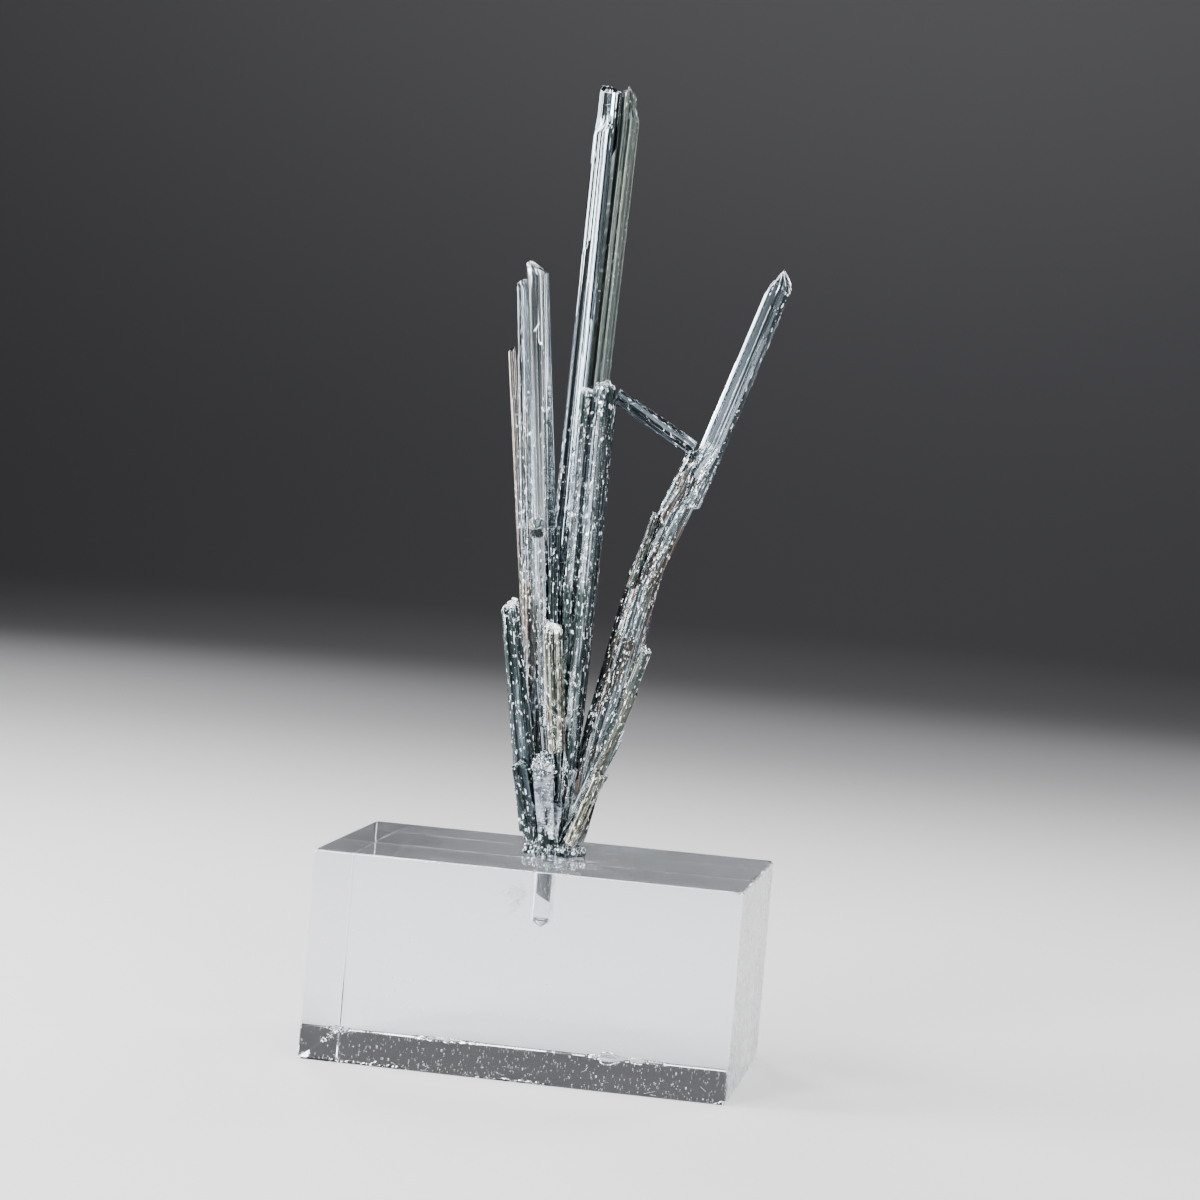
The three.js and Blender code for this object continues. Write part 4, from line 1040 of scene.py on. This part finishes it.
crust_paint = stibnite("crust_stibnite", (PALE_BLUE, SMOKE, (0.62, 0.66, 0.70)), shine=0.8, dark=0.4)
grains("base_ring_grains", ring_spots, rng.uniform(0.15, 0.5, BEADS), 92, ring_paint,
       ["root_mass"])
grains("front_crust_grains", front_spots, rng.uniform(0.12, 0.42, CRUMBS), 93, crust_paint,
       ["root_mass"])

# Dust and rub marks on the block: specks and short scratches, thick towards its foot.
rng = np.random.default_rng(95)
DUST, DUST_DEPTH = 420, 0.12
dust_x = rng.uniform(-0.98, 0.98, DUST) * block_half[0]
dust_z = block_low[2] + 0.4 + (block_high[2] - block_low[2] - 0.8) * rng.uniform(0, 1, DUST) ** 2.2
front_dust = np.stack([dust_x, np.full(DUST, block_low[1] + DUST_DEPTH), dust_z], -1)
top_y, base_y = rng.uniform(-0.97, 0.97, (2, DUST)) * block_half[1]
top_dust = np.stack([dust_x, top_y, np.full(DUST, block_high[2] - DUST_DEPTH)], -1)
base_dust = np.stack([dust_x[::-1], base_y, np.full(DUST, block_low[2] + DUST_DEPTH)], -1)
dust_places = np.vstack([front_dust, top_dust[:160], base_dust]) + np.array([block_middle[0], 0, 0])
dust_paint = Paint("dust", Roughness=0.8)
dust_shade = dust_paint.noise(dust_paint.place(), 500.0)
dust_paint.set(Base_Color=dust_paint.mix(dust_shade, (0.70, 0.71, 0.73), (0.95, 0.95, 0.96)))
dust_sizes = rng.uniform(0.03, 0.085, len(dust_places))
dust_sizes = dust_sizes * np.where(rng.random(len(dust_places)) < 0.06, 1.8, 1.0)
grains("block_dust", dust_places, dust_sizes, 96, dust_paint, ["acrylic_block"], stretch=1.0)
SCRATCHES = 46
scratch_a_end = front_dust[rng.choice(DUST, SCRATCHES)]
scratch_x, scratch_z = rng.normal(0, 1.0, SCRATCHES), rng.normal(0, 0.5, SCRATCHES)
scratch_way = np.stack([scratch_x, 0 * scratch_x, scratch_z], -1)
scratch_b_end = scratch_a_end + scratch_way * rng.uniform(0.5, 1.8, SCRATCHES)[:, None]
low_limit, high_limit = block_low + 0.3, block_high - 0.3
scratch_b_end = np.clip(scratch_b_end, low_limit - np.array([0, 0.2, 0]), high_limit)
needles("block_scratches", scratch_a_end, scratch_b_end, np.full(SCRATCHES, 0.025), 97, dust_paint,
        ["acrylic_block"], sides=6)

# ---------------------------------------------------------------------------------------
# Stage: a floor that curves up into a wall, painted lightest under the block and darker outwards as a
# painted pool of light, soft lights and the camera.

FLOOR_RADIUS, COVE, WALL_TOP, FLOOR_DROP = 1.5, 0.6, 2.6, 0.00005


def bowl_surface(around=96):
    """A flat disc, a quarter-round cove and an upright wall, turned about the Z axis."""
    bend = np.linspace(0, math.pi / 2, 16)
    r = np.concatenate([np.linspace(0.02, FLOOR_RADIUS, 12), FLOOR_RADIUS + COVE * np.sin(bend[1:]),
                        [FLOOR_RADIUS + COVE] * 3])
    z = np.concatenate([np.zeros(12), COVE * (1 - np.cos(bend[1:])), [1.2, 1.9, WALL_TOP]])
    turn = np.linspace(0, 2 * math.pi, around, endpoint=False)
    z = z[:, None] + 0 * turn - FLOOR_DROP
    points = np.stack([r[:, None] * np.cos(turn), r[:, None] * np.sin(turn), z], -1)
    rings = len(r)
    i, j = np.meshgrid(np.arange(rings - 1), np.arange(around), indexing="ij")
    k = (j + 1) % around
    here, beyond = i * around, (i + 1) * around
    faces = np.stack([here + j, beyond + j, beyond + k, here + k], -1).reshape(-1, 4).tolist()
    return points.reshape(-1, 3), faces + [list(range(around))]


# The floor's colour is a painted pool of light: lightest under the block, darker with distance, near black
# on the cove and wall.
floor_paint = Paint("floor_painted_light_pool", Roughness=0.65)
floor_spot = floor_paint.place()
floor_reach = floor_paint.node("ShaderNodeVectorMath", {"operation": "LENGTH"}, {0: floor_spot}, "Value")
floor_reach = floor_reach + floor_paint.noise(floor_spot, 3.0) * 0.06
floor_painted_light = floor_paint.mix(floor_paint.ramp(floor_reach, 0.22, 0.75),
                             (0.36, 0.36, 0.37), (0.12, 0.12, 0.125))
floor_paint.set(Base_Color=floor_paint.mix(floor_paint.ramp(floor_reach, 0.7, 1.9),
                                           floor_painted_light, (0.045, 0.045, 0.05)))
bowl_points, bowl_faces = bowl_surface()
bowl_mesh = bpy.data.meshes.new("floor")
bowl_mesh.from_pydata(bowl_points.tolist(), [], bowl_faces)
bowl_mesh.shade_smooth()
bowl_mesh.materials.append(floor_paint.material)
bowl = bpy.data.objects.new("floor", bowl_mesh)
bpy.context.collection.objects.link(bowl)

world = bpy.data.worlds.new("studio")
world.use_nodes = True
sky = world.node_tree.nodes["Background"].inputs
sky["Color"].default_value = (0.75, 0.8, 0.9, 1)
sky["Strength"].default_value = 0.05
bpy.context.scene.world = world


LAMP_SPREAD = 130


def soft_light(name, azimuth, elevation, distance, size, watts, tall=None, target=(0, 0, 0.09)):
    """A rectangular soft light aimed at the target, its top edge level, hidden from the camera.
    Azimuth 0 is in front of the block and 90 at its right.
    """
    lamp = bpy.data.lights.new(name, "AREA")
    lamp.shape = "RECTANGLE"
    lamp.size, lamp.size_y = size, tall or size
    lamp.energy = watts
    lamp.spread = math.radians(LAMP_SPREAD)
    holder = bpy.data.objects.new(name, lamp)
    a, e = math.radians(azimuth), math.radians(elevation)
    away = np.array([math.sin(a) * math.cos(e), -math.cos(a) * math.cos(e), math.sin(e)])
    holder.location = np.array(target) + away * distance
    holder.rotation_euler = Vector(away).to_track_quat("Z", "Y").to_euler()
    holder.visible_camera = False
    bpy.context.collection.objects.link(holder)


soft_light("left_wall", -76, 20, 0.8, 0.62, 22, tall=0.85, target=(0, 0, 0.16))
soft_light("front_strip", -27, 26, 1.1, 0.32, 17, tall=0.9)
soft_light("right_wall", 38, 20, 0.9, 0.14, 4.5, tall=0.85, target=(0, 0, 0.13))
soft_light("right_edge", 88, 16, 0.9, 0.08, 2, tall=0.75, target=(0, 0, 0.15))
soft_light("back_left", -150, 30, 1.0, 0.3, 6, tall=0.7)
soft_light("back_right", 150, 25, 1.0, 0.25, 6, tall=0.7)
soft_light("top", 10, 86, 0.9, 0.5, 8)
soft_light("wall_glow", 8, 30, 1.0, 0.4, 3.5, target=(-0.2, 2.0, 0.45))

CAMERA_AZIMUTH, CAMERA_LIFT, CAMERA_ROLL = 8.538, 2.781, 4.747
CAMERA_PLACE = (0.098796, -0.624016, 0.114787)
camera_data = bpy.data.cameras.new("camera")
camera_data.lens, camera_data.sensor_width = 105, 36
camera = bpy.data.objects.new("camera", camera_data)
a, e, roll = (math.radians(v) for v in (CAMERA_AZIMUTH, CAMERA_LIFT, CAMERA_ROLL))
back = np.array([math.sin(a) * math.cos(e), -math.cos(a) * math.cos(e), math.sin(e)])
level = np.cross(-back, (0, 0, 1))
level /= np.linalg.norm(level)
above = np.cross(level, -back)
side = math.cos(roll) * level + math.sin(roll) * above
above = -math.sin(roll) * level + math.cos(roll) * above
place = np.eye(4)
place[:3] = np.stack([side, above, back, CAMERA_PLACE], -1)
camera.matrix_world = Matrix(place)
bpy.context.collection.objects.link(camera)
bpy.context.scene.camera = camera
